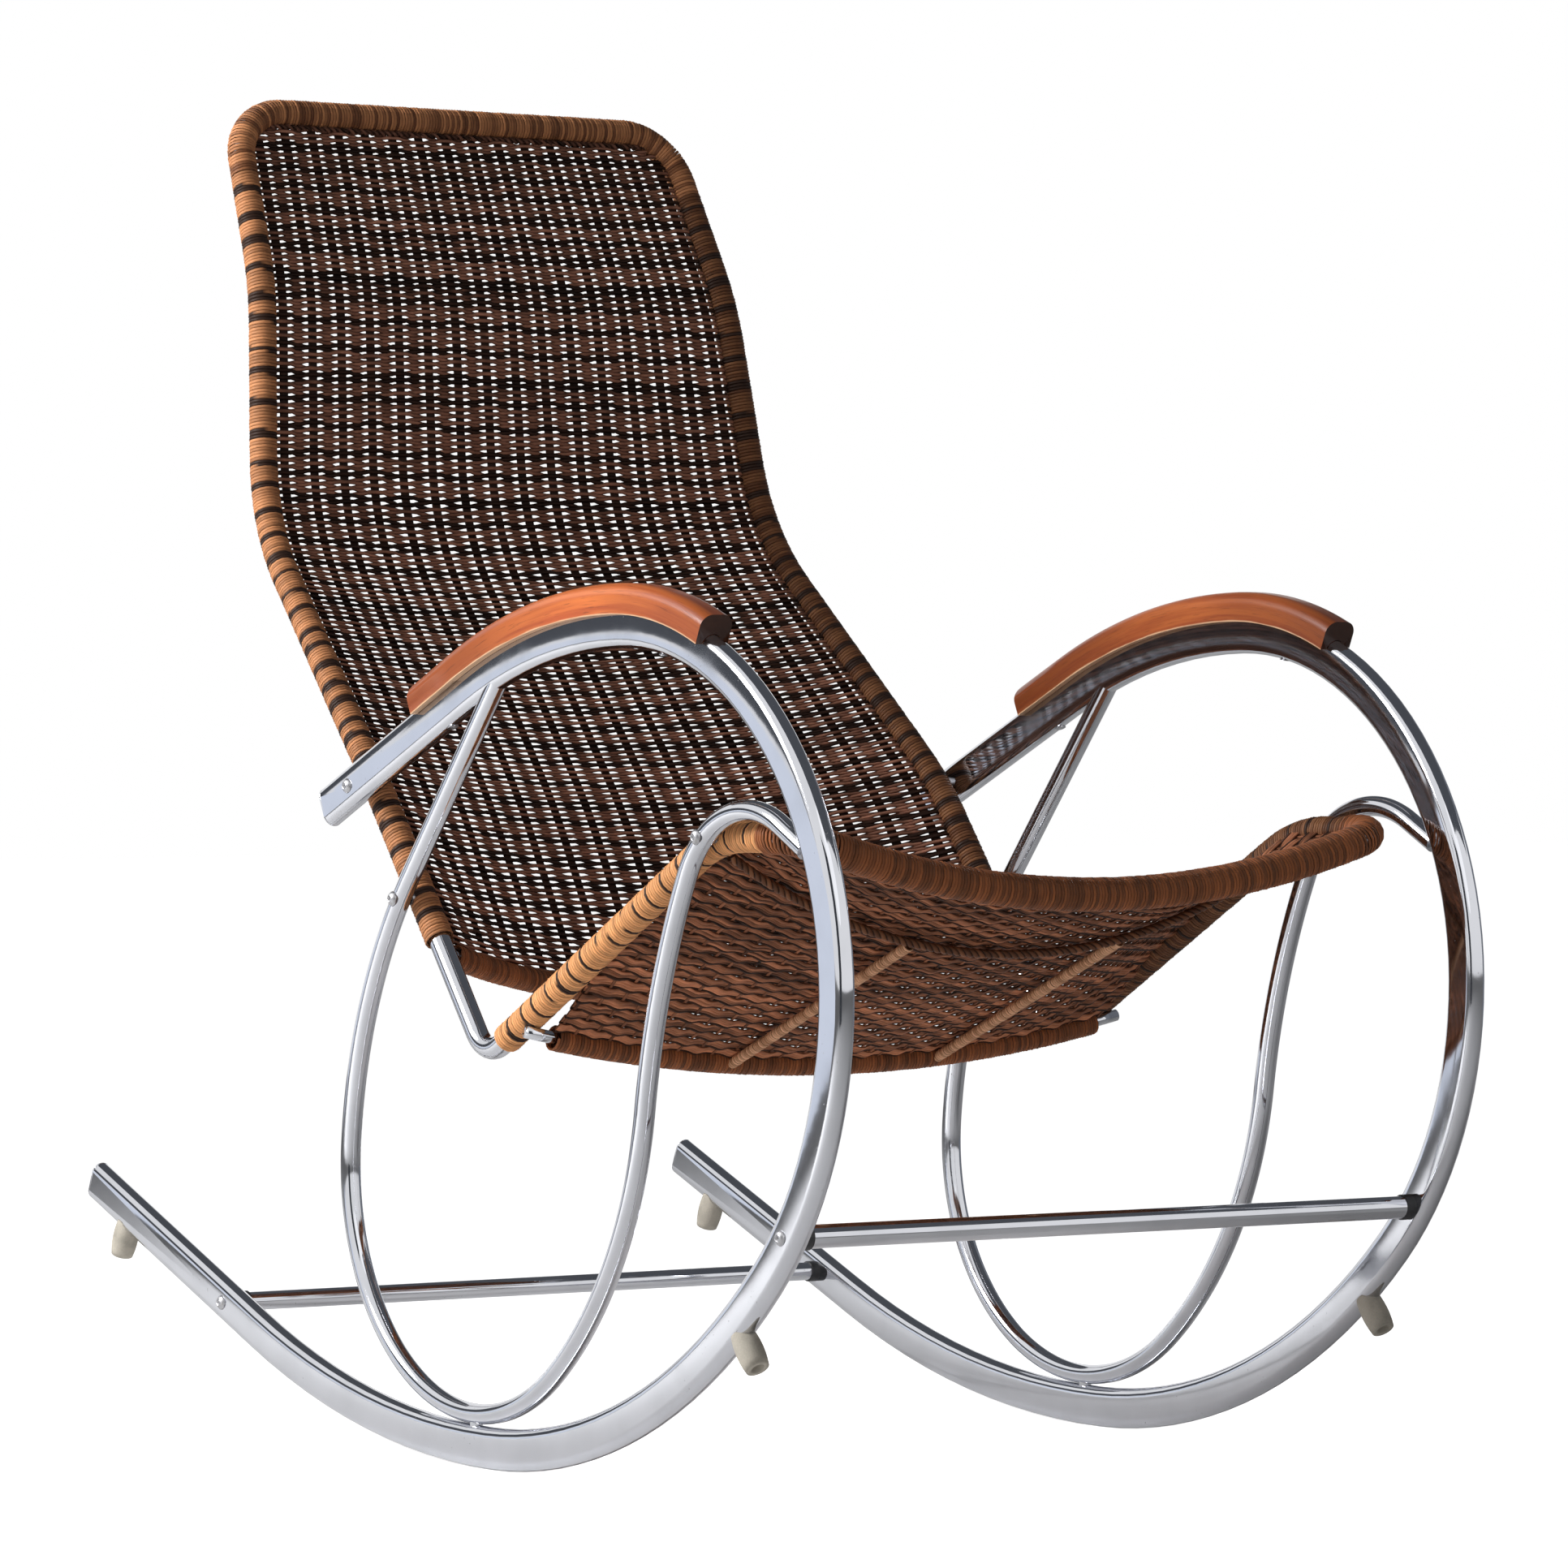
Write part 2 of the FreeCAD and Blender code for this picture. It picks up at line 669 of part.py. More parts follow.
# The lower back bar is cut square and butts against the rails.
back_in = back_out * -1
bow_radius, bow_centre, bow_spread = dish(lower_bar_middle, back_in, rail_half_gap, lower_bar_bow)
bow_spread = bow_spread - (frame_diameter / 2 + press_clearance) / bow_radius
bow_points = [on_dish(bow_centre, back_in, bow_radius, bow_spread * k) for k in (-1, 0, 1)]
lower_bar = round_bar([Part.Arc(*bow_points).toShape()], rod_diameter)
save("lower_back_bar", lower_bar)
rear_bar = round_bar(rear_bar_path(rear_bar_half), rod_diameter)
save("rear_seat_bar", rear_bar)


# Wraps.
def sleeve(edges, diameter):
    return round_tube(edges, diameter, frame_diameter + 2 * seat_gap)


def insert_hole(centre):
    return cross_hole(centre, rail_half_gap, hoop_inside, insert_diameter + 2 * seat_gap)


head_line = (top_point - neck_point).normalize()
back_wrap_end = top_point - head_line * (1.25 * top_corner_radius)
back_wrap_foot = foot_point + back_rise * back_wrap_start
back_wrap_corners = [back_wrap_foot, arm_point, knee_point, neck_point, back_wrap_end]
back_wrap_edges = bent_path(back_wrap_corners, [lower_back_radius, middle_back_radius, head_radius])
back_wrap = sleeve(back_wrap_edges, rail_wrap_diameter)
back_wrap = back_wrap.cut(insert_hole(arm_bolt)).cut(insert_hole(rail_bolt))
save_pair("back_wrap", back_wrap)

top_corners = [
    back_wrap_end,
    top_point,
    across(top_point, -top_point.x),
    across(back_wrap_end, -back_wrap_end.x),
]
top_edges = bent_path(top_corners, [top_corner_radius, top_corner_radius])
save("top_wrap", sleeve(top_edges, rail_wrap_diameter))

seat_wrap_end = front_point + V(0, 1.25 * front_corner_radius, 0)
seat_wrap_corners = [foot_point + seat_rise * seat_wrap_start, seat_point, seat_wrap_end]
seat_wrap = sleeve(bent_path(seat_wrap_corners, [seat_bend_radius]), rail_wrap_diameter)
rear_bar_room = round_bar(rear_bar_path(rear_bar_half + rod_diameter), rod_diameter + 2 * seat_gap)
seat_wrap = seat_wrap.cut(insert_hole(seat_bolt)).cut(rear_bar_room)
save_pair("seat_wrap", seat_wrap)

front_corners = [
    seat_wrap_end,
    front_point,
    front_low_point,
    across(front_point, -rail_half_gap),
    across(seat_wrap_end, -rail_half_gap),
]
front_edges = bent_path(front_corners, [front_corner_radius, front_bar_radius, front_corner_radius])
save("front_wrap", sleeve(front_edges, front_wrap_diameter))

rail_room = round_bar(frame_edges, frame_diameter + 2 * seat_gap)
lower_bar_bore = rod_diameter + 2 * seat_gap
lower_bar_wrap = round_tube(lower_bar_edges, lower_bar_wrap_diameter, lower_bar_bore)
lower_bar_wrap = lower_bar_wrap.cut(rail_room).cut(mirrored(rail_room))
save("lower_bar_wrap", lower_bar_wrap)
rear_wrap_half = rail_half_gap - rail_wrap_diameter / 2 - rear_bar_wrap_diameter / 2
rear_bar_wrap = round_tube(rear_bar_path(rear_wrap_half), rear_bar_wrap_diameter, rod_diameter + 2 * seat_gap)
save("rear_bar_wrap", rear_bar_wrap)

# Woven panels, lofted out to the tube centres and cut back to the wraps.
back_edges = bent_path(
    [lower_bar_end, arm_point, knee_point, neck_point, top_point],
    [lower_back_radius, middle_back_radius, head_radius],
)
back_run = sum(edge.Length for edge in back_edges)
back_stations = 10


def back_section(share):
    """Lowest point, way to the sitter, half width and sag of the back weave at a share of its run."""
    place, direction = along(back_edges, back_run * share)
    front_side = V(0, -direction.z, direction.y).normalize()
    half_width = place.x - rail_wrap_diameter / 4
    sag = lower_bar_bow * (1 - share) ** 2 + 1
    return at_middle(place) - front_side * sag, front_side, half_width, sag


def back_opening(row, column):
    """Block that cuts one opening straight through the back weave."""
    step = (back_run - 2 * back_opening_margin) / (back_opening_rows - 1)
    lowest, front_side, half_width, sag = back_section((back_opening_margin + row * step) / back_run)
    radius, centre, spread = dish(lowest, front_side, half_width, sag)
    lean = (2 * column + 1 - back_opening_columns) / back_opening_columns
    point = on_dish(centre, front_side, radius, spread * back_opening_reach * lean)
    through = (centre - point).normalize() * (2 * back_weave_thickness)
    height = V(0, front_side.z, -front_side.y) * back_opening_height
    width = height.cross(through).normalize() * back_opening_width
    corner = point - (width + height) / 2 - through
    outline = Part.makePolygon([corner, corner + width, corner + width + height, corner + height, corner])
    return Part.Face(outline).extrude(through * 2)


back_outlines = []
for k in range(back_stations + 1):
    back_outlines.append(dish_outline(*back_section(k / back_stations), back_weave_thickness))
back_weave = Part.makeLoft(back_outlines, True, False)
back_openings = []
for row in range(back_opening_rows):
    for column in range(back_opening_columns):
        back_openings.append(back_opening(row, column))
back_room = round_bar(frame_edges, rail_wrap_diameter + 2 * seat_gap)
lower_bar_room = round_bar(lower_bar_edges, lower_bar_wrap_diameter + 2 * seat_gap)
back_weave = back_weave.cut(back_room).cut(mirrored(back_room)).cut(lower_bar_room)
back_weave = main_piece(back_weave).cut(Part.makeCompound(back_openings))
save("back_weave", back_weave)

seat_stations = 8
seat_outlines = []
for k in range(seat_stations + 1):
    y = rear_bar_middle.y + (front_middle.y - rear_bar_middle.y) * k / seat_stations
    half_width = rail_half_gap - rail_wrap_diameter / 4
    outline = dish_outline(seat_middle(y), V(0, 0, 1), half_width, seat_sag(y), seat_weave_thickness)
    seat_outlines.append(outline)
seat_weave = Part.makeLoft(seat_outlines, True, False)
front_room = round_bar(front_edges, front_wrap_diameter + 2 * seat_gap)
rear_room = round_bar(rear_bar_path(rear_bar_half), rear_bar_wrap_diameter + 2 * seat_gap)
seat_weave = seat_weave.cut(back_room).cut(mirrored(back_room)).cut(front_room).cut(rear_room)
save("seat_weave", main_piece(seat_weave))

# Cane rib and stringers that lie under the seat weave.
rib_y = front_point.y + rib_setback
rib_radius, rib_centre, rib_spread = dish(seat_middle(rib_y), V(0, 0, 1), rail_half_gap, seat_sag(rib_y))
rib_radius = rib_radius + seat_weave_thickness / 2 + seat_gap + rib_diameter / 2
rib_points = [on_dish(rib_centre, V(0, 0, 1), rib_radius, rib_spread * k) for k in (-1, 0, 1)]
rib = round_bar([Part.Arc(*rib_points).toShape()], rib_diameter)
rib = rib.cut(back_room).cut(mirrored(back_room))
save("seat_rib", rib)


def stringer_point(y):
    radius, centre, spread = dish(seat_middle(y), V(0, 0, 1), rail_half_gap, seat_sag(y))
    spread = math.asin(stringer_half_gap / radius)
    depth = seat_weave_thickness / 2 + 2 * seat_gap + stringer_diameter / 2
    return on_dish(centre, V(0, 0, 1), radius + depth, spread)


stringer = rod(stringer_point(rear_bar_middle.y), stringer_point(rib_y), stringer_diameter)
rib_room = round_bar([Part.Arc(*rib_points).toShape()], rib_diameter + 2 * seat_gap)
stringer = stringer.cut(rear_room).cut(rib_room)
save("seat_stringers", both([stringer]))
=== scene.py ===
"""Looks of the chrome and rattan rocking chair, dressed over its packed frame."""

import math

import bmesh
import bpy
import numpy as np
from mathutils import Matrix, Vector


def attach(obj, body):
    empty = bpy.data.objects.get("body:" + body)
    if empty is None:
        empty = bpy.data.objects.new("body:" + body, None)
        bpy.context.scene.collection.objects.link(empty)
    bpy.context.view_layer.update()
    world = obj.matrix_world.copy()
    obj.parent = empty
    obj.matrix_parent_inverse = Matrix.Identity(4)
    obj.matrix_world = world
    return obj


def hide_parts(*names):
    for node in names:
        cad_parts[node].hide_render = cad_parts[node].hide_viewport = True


bl_info = {
    "name": "Chrome and Rattan Rocking Chair",
    "version": (1, 0, 0),
    "blender": (4, 5, 0),
    "location": "View3D > Sidebar > Rocker",
    "description": "Dresses the rocking chair frame in chrome, lacquered wood, woven and wound rattan",
    "category": "Object",
}

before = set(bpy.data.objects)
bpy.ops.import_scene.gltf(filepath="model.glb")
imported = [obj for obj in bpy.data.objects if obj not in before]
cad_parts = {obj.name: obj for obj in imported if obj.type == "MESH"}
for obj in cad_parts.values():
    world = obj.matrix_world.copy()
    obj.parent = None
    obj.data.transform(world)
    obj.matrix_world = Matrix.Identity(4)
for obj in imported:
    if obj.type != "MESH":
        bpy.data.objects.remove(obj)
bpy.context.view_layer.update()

MM = 0.001
BODY = "root"
WELD_DISTANCE = 2e-6

# Corners of the seat and back frame on the sitter's left, and places of its bars and rib, in millimetres,
# with the radii of their bends.
FOOT = np.array((251.45, -30.259, 286.973))
ARM = np.array((251.45, 114.576, 479.586))
KNEE = np.array((227.17, 313.2, 674.093))
NECK = np.array((211.188, 340.565, 855.035))
TOP = np.array((198.0, 403.183, 992.439))
SEAT = np.array((251.45, -319.492, 445.323))
FRONT = np.array((251.45, -413.184, 445.323))
FRONT_LOW = np.array((0.0, -413.184, 373.221))
LOWER_BAR_END = np.array((251.45, 25.032, 360.504))
LOWER_BAR_MIDDLE = np.array((0.0, 72.987, 324.445))
REAR_BAR_MIDDLE = np.array((0.0, -94.154, 279.704))
FRONT_MIDDLE = np.array((0.0, -413.184, 404.408))
RIB_CENTRE = np.array((0.0, -319.184, 814.378))
LOWER_BACK_RADIUS = 400.0
KNEE_RADIUS = 170.0
NECK_RADIUS = 220.0
BACK_RADII = (LOWER_BACK_RADIUS, KNEE_RADIUS, NECK_RADIUS)
TOP_CORNER_RADIUS = 46.0
SEAT_BEND_RADIUS = 120.0
FRONT_CORNER_RADIUS = 28.0
FRONT_BAR_RADIUS = 773.872
REAR_BAR_RADIUS = 1225.325
RIB_RADIUS = 452.763
LOWER_BAR_BOW = 60.0

# Wraps, cane ribs and woven panels, in millimetres; the rear edge of the seat bends down to its bar.
BACK_WRAP_START = 103.0
SEAT_WRAP_START = 30.0
REAR_WRAP_HALF = 238.0
SEAT_SLOPE = math.tan(math.radians(28.7))
RAIL_WRAP_RADIUS = 10.75
FRONT_WRAP_RADIUS = 12.0
LOWER_BAR_WRAP_RADIUS = 9.0
REAR_BAR_WRAP_RADIUS = 9.5
STRINGER_RADIUS = 4.0
STRINGER_HALF_GAP = 90.0
SEAT_PANEL_THICKNESS = 4.5
REAR_EDGE_RUN = 70.0
BROWN_RUNS = (9.0, 16.0)
DARK_RUNS = (4.0, 8.5)

# Tones of woven rows, from the darkest at 0 to the lightest at 1.
ROW_TONES = (0.25, 1.0)
TONE_SPREAD = 0.16

# Arm of the left hoop under its armrest: start, heading and (radius, turn) bends or (0, length) runs.
# Its screw heads stand out by FLUSH_HEAD.
ARM_START = np.array((270.0, -334.447, 567.097))
ARM_HEADING = 24.0
ARM_MOVES = ((246.0, -24.0), (489.0, -23.9), (0.0, 58.0))
HOOP_HALF_HEIGHT = 15.0
FLUSH_HEAD = 0.4

# Inner loop of the left side: top of its strut under the arm, heading, bends and runs. The last run ends
# in the hoop.
LOOP_START = np.array((270.0, -80.941, 560.289))
LOOP_HEADING = 310.0
LOOP_MOVES = (
    (0.0, 192.0),
    (350.0, -34.8),
    (167.0, -132.4),
    (292.0, -43.8),
    (543.0, 17.9),
    (80.0, 92.0),
    (0.0, 33.0),
)
LOOP_DIAMETER = 14.5

# Stage, in metres. Each lamp has a place and a size, and each card, which only polished metal sees, has
# a place, the point that it faces, a width, a height and a brightness.
LAMPS = {
    "key": ((-2.3, 0.9, 1.7), 1.3),
    "fill": ((-1.6, -3.2, 2.4), 2.2),
}
LAMP_TARGET = (0.0, 0.0, 0.5)
CARDS = {
    "dark_card_above": ((1.7, 0.4, 2.7), (1.7, 0.4, 0.0), 5.6, 7.0, 0.10),
    "dark_card_left": ((-2.45, -1.73, 0.7), (0.0, 0.0, 0.7), 1.0, 2.4, 0.06),
    "dark_card_behind": ((-1.7, 2.4, 0.95), (0.0, 0.0, 0.95), 2.4, 0.72, 0.10),
    "light_card_behind": ((-2.2, 2.35, 0.33), (0.0, 0.0, 0.33), 2.6, 0.44, 0.95),
    "grey_card_right": ((3.2, 0.4, 0.9), (0.0, 0.0, 0.9), 3.0, 2.4, 0.22),
}
CARD_TINT = (0.90, 0.96, 1.08)
FLOOR_HALF = 30.0
CAMERA_PLACE = (-2.975, -4.259, 0.4917)
CAMERA_RIGHT = Vector((0.817339, -0.576147, -0.003281))
CAMERA_UP = Vector((0.004014, 0.0, 0.999992))
SENSOR_WIDTH = 36.0
CLIP_END = 200.0


# Settings.


def length(label, words, default):
    return bpy.props.FloatProperty(
        name=label, description=words, default=default, min=0.0, precision=5, unit="LENGTH"
    )


def share(label, words, default):
    return bpy.props.FloatProperty(
        name=label, description=words, default=default, min=0.0, max=1.0, subtype="FACTOR"
    )


def count_of(label, words, default):
    return bpy.props.IntProperty(name=label, description=words, default=default, min=1)


def power(label, words, default):
    return bpy.props.FloatProperty(name=label, description=words, default=default, min=0.0, subtype="POWER")


def colour(label, words, default):
    return bpy.props.FloatVectorProperty(
        name=label, description=words, default=default, size=3, min=0.0, max=1.0, subtype="COLOR"
    )


class RockerMetal(bpy.types.PropertyGroup):
    """Chrome tubes, fasteners, bumpers and collars."""

    chrome: colour("Chrome", "Colour of the polished plate", (0.66, 0.67, 0.71))
    chrome_roughness: share("Chrome Roughness", "Haze of the polished plate", 0.06)
    steel: colour("Fasteners", "Colour of bolts and screws", (0.52, 0.52, 0.54))
    rubber: colour("Bumpers", "Colour of the aged rubber", (0.50, 0.46, 0.39))
    plastic: colour("Collars", "Colour of the stretcher collars", (0.025, 0.025, 0.027))


class RockerWood(bpy.types.PropertyGroup):
    """Lacquered armrests."""

    light: colour("Light Grain", "Colour between the grain lines", (0.60, 0.158, 0.040))
    dark: colour("Dark Grain", "Colour of the grain lines", (0.40, 0.080, 0.022))
    worn: colour("Worn Edge", "Bare wood along the lower edges", (0.72, 0.47, 0.28))
    # Painted light: a pool of light is painted along each arm, brightest at this distance from the front end
    # and darker over the next one.
    painted_light_place: length("Bright Place", "Distance of the brightest wood from the front end", 0.140)
    painted_light_reach: length("Bright Reach", "Distance over which the wood darkens", 0.190)
    # Painted shade: the far armrest's wood is painted darker by this factor, standing in for the shade the
    # chair casts on it.
    far_painted_shade: share("Far Tone", "Tone of the far armrest, with the near one at 1", 0.74)
    lacquer: share("Lacquer", "Weight of the clear lacquer", 0.18)


class RockerWeave(bpy.types.PropertyGroup):
    """Woven back and seat."""

    back_stakes: count_of("Back Stakes", "Stakes across the back", 16)
    back_pitch: length("Back Row", "Distance between woven rows of the back", 0.0026)
    strand_width: length("Strand Width", "Width of a woven strand of the back", 0.00335)
    strand_thickness: length("Strand Thickness", "Thickness of a woven strand of the back", 0.0018)
    stake_width: length("Stake Width", "Width of a stake of the back", 0.0078)
    stake_thickness: length("Stake Thickness", "Thickness of a stake of the back", 0.0016)
    seat_stakes: count_of("Seat Stakes", "Stakes across the seat", 34)
    seat_pitch: length("Seat Row", "Distance between woven rows of the seat", 0.0024)
    seat_group: count_of("Seat Group", "Rows woven together as one", 4)
    dark: colour("Dark Strand", "Colour of the dark strands", (0.010, 0.0045, 0.003))
    seat: colour("Seat Strand", "Colour of the brown strands of the seat", (0.76, 0.295, 0.148))
    light: colour("Light Strand", "Colour of the brown strands", (0.60, 0.275, 0.18))


class RockerWrap(bpy.types.PropertyGroup):
    """Rattan wound round the rails and bars."""

    pitch: length("Turn", "Distance between turns", 0.0025)
    thickness: length("Thickness", "Thickness of the wound strand", 0.0014)
    band: length("Band Spacing", "Distance between dark bands on the side rails", 0.020)
    band_width: length("Band Width", "Width of a dark band", 0.0058)
    honey: colour("Honey Turns", "Colour of the light turns", (0.62, 0.270, 0.118))
    # Painted light: brighter turns for the near seat rail, standing in for the sunlight on it.
    sunny: colour("Sunny Turns", "Colour of the turns on the near seat rail", (0.97, 0.455, 0.185))
    brown: colour("Brown Turns", "Colour of the brown turns", (0.16, 0.060, 0.026))
    dark: colour("Dark Turns", "Colour of the dark bands", (0.035, 0.016, 0.010))
    russet: colour("Russet Turns", "Lightest turns of the bars", (0.41, 0.135, 0.048))
    rib: colour("Rib", "Lightest strands of the cross rib", (0.34, 0.14, 0.062))
    rib_deep: colour("Rib Shade", "Darkest strands of the cross rib", (0.12, 0.048, 0.024))
    stringer: colour("Stringer", "Lightest turns of the stringers", (0.85, 0.47, 0.27))
    stringer_deep: colour("Stringer Shade", "Darkest turns of the stringers", (0.46, 0.22, 0.11))


class RockerStage(bpy.types.PropertyGroup):
    """Floor, light and camera."""

    floor: colour("Floor", "Colour of the floor", (0.86, 0.86, 0.86))
    sky: share("Sky", "Strength of the light from all round", 0.17)
    key: power("Key", "Power of the main light", 88.0)
    fill: power("Fill", "Power of the front light", 4.0)
    glow: share("Glow", "Brightness that the floor adds for the camera", 0.87)
    lens: bpy.props.FloatProperty(name="Lens", description="Focal length", default=163.33, unit="CAMERA")


SETTINGS = {
    "rocker_metal": RockerMetal,
    "rocker_wood": RockerWood,
    "rocker_weave": RockerWeave,
    "rocker_wrap": RockerWrap,
    "rocker_stage": RockerStage,
}


# Materials.


class Signal:
    """A value in a material; arithmetic on it adds Math nodes."""

    def __init__(self, finish, socket):
        self.finish = finish
        self.socket = socket

    def math(self, operation, *values):
        node = self.finish.add("ShaderNodeMath", {"operation": operation}, dict(enumerate(values)))
        return Signal(self.finish, node.outputs[0])

    def __add__(self, other):
        return self.math("ADD", self, other)

    def __sub__(self, other):
        return self.math("SUBTRACT", self, other)

    def __rsub__(self, other):
        return self.math("SUBTRACT", other, self)

    def __mul__(self, other):
        return self.math("MULTIPLY", self, other)

    def __truediv__(self, other):
        return self.math("DIVIDE", self, other)

    def __abs__(self):
        return self.math("ABSOLUTE", self)

    __radd__ = __add__
    __rmul__ = __mul__

    def step(self, low, high):
        """0 below low, 1 above high, smooth between."""
        settings = {"interpolation_type": "SMOOTHSTEP"}
        inputs = {"Value": self, "From Min": low, "From Max": high}
        return Signal(self.finish, self.finish.add("ShaderNodeMapRange", settings, inputs).outputs["Result"])


class Finish:
    """A procedural material round one Principled shader."""

    def __init__(self, name):
        self.material = bpy.data.materials.new(name)
        self.material.use_nodes = True
        self.nodes = self.material.node_tree.nodes
        self.links = self.material.node_tree.links
        self.shader = self.nodes["Principled BSDF"]

    def add(self, kind, settings, inputs):
        """A node of the given type, with its settings made first and its sockets filled or linked."""
        node = self.nodes.new(kind)
        for key, value in settings.items():
            setattr(node, key, value)
        self.fill(node, inputs)
        return node

    def fill(self, node, inputs):
        """Links or sets a node's inputs."""
        for key, value in inputs.items():
            socket = node.inputs[key]
            if isinstance(value, Signal):
                self.links.new(value.socket, socket)
            elif isinstance(value, bpy.types.NodeSocket):
                self.links.new(value, socket)
            elif socket.type == "RGBA":
                socket.default_value = (*value, 1.0)
            else:
                socket.default_value = value

    def attribute(self, name):
        node = self.add("ShaderNodeAttribute", {"attribute_name": name}, {})
        return Signal(self, node.outputs["Fac"])

    def attribute_vector(self, name):
        return self.add("ShaderNodeAttribute", {"attribute_name": name}, {}).outputs["Vector"]

    def place(self):
        """Object coordinates, in metres in the chair's own frame."""
        return self.add("ShaderNodeTexCoord", {}, {}).outputs["Object"]

    def combine(self, x, y, z):
        return self.add("ShaderNodeCombineXYZ", {}, {"X": x, "Y": y, "Z": z}).outputs["Vector"]

    def scaled(self, vector, scale):
        node = self.add("ShaderNodeVectorMath", {"operation": "MULTIPLY"}, {0: vector, 1: scale})
        return node.outputs["Vector"]

    def noise(self, vector, scale, detail=2.0, roughness=0.5):
        inputs = {"Vector": vector, "Scale": scale, "Detail": detail, "Roughness": roughness}
        return Signal(self, self.add("ShaderNodeTexNoise", {}, inputs).outputs["Fac"])

    def mix(self, factor, first, second):
        """Colour between first, at 0, and second, at 1."""
        node = self.add("ShaderNodeMix", {"data_type": "RGBA"}, {0: factor, 6: first, 7: second})
        return node.outputs[2]

    def shade(self, tint, factor):
        """A colour times a value."""
        settings = {"data_type": "RGBA", "blend_type": "MULTIPLY"}
        grey = self.add("ShaderNodeCombineColor", {}, {"Red": factor, "Green": factor, "Blue": factor})
        node = self.add("ShaderNodeMix", settings, {0: 1.0, 6: tint, 7: grey.outputs["Color"]})
        return node.outputs[2]

    def bump(self, height, distance):
        """Normal of a surface with relief up to a distance in metres."""
        inputs = {"Height": height, "Distance": distance, "Strength": 1.0}
        return self.add("ShaderNodeBump", {}, inputs).outputs["Normal"]

    def set(self, **sockets):
        """Fill the shader's own sockets, named with underscores for spaces."""
        self.fill(self.shader, {key.replace("_", " "): value for key, value in sockets.items()})
        return self.material


def toned(tint, factor):
    """A colour that is darker by a factor."""
    return tuple(factor * channel for channel in tint)


def chrome_finish(metal):
    """Polished plate with faint haze, fine scuffs and a few dull specks."""
    finish = Finish("polished_chrome")
    place = finish.place()
    haze = finish.noise(place, 22.0, 3.0)
    scuffs = finish.noise(finish.scaled(place, (40.0, 300.0, 300.0)), 6.0, 2.0)
    patches = finish.noise(place, 9.0).step(0.5, 0.62)
    specks = finish.noise(place, 320.0, 2.0, 0.6).step(0.70, 0.76) * patches
    tint = finish.mix(haze.step(0.35, 0.75) * 0.3, tuple(metal.chrome), (0.50, 0.51, 0.54))
    tint = finish.mix(specks * 0.6, tint, (0.22, 0.20, 0.18))
    rough = metal.chrome_roughness + haze.step(0.45, 0.8) * 0.07
    rough = rough + scuffs.step(0.6, 0.75) * 0.05 + specks * 0.3
    normal = finish.bump(haze, 0.00006)
    return finish.set(Base_Color=tint, Metallic=1.0, Roughness=rough, Normal=normal)


def steel_finish(metal):
    """Plated fasteners, a little duller than the tubes."""
    finish = Finish("plated_steel")
    place = finish.place()
    grime = finish.noise(place, 260.0, 3.0)
    tint = finish.mix(grime.step(0.45, 0.75) * 0.5, tuple(metal.steel), (0.28, 0.26, 0.24))
    rough = 0.22 + grime * 0.2
    return finish.set(Base_Color=tint, Metallic=1.0, Roughness=rough, Normal=finish.bump(grime, 0.00005))


def rubber_finish(metal):
    """Aged beige-grey rubber, dusty and darker in patches."""
    finish = Finish("aged_rubber")
    place = finish.place()
    patches = finish.noise(place, 70.0, 3.0)
    grain = finish.noise(place, 900.0, 2.0)
    base = tuple(metal.rubber)
    tint = finish.mix(patches.step(0.4, 0.75) * 0.6, base, toned(base, 0.6))
    tint = finish.shade(tint, 0.85 + grain * 0.3)
    normal = finish.bump(grain, 0.00015)
    return finish.set(Base_Color=tint, Roughness=0.72 + patches * 0.2, Specular_IOR_Level=0.3, Normal=normal)


def plastic_finish(metal):
    """Black moulded collars with a fine matt grain."""
    finish = Finish("black_plastic")
    grain = finish.noise(finish.place(), 1200.0, 2.0)
    tint = finish.shade(tuple(metal.plastic), 0.8 + grain * 0.4)
    return finish.set(Base_Color=tint, Roughness=0.38 + grain * 0.2, Normal=finish.bump(grain, 0.00005))


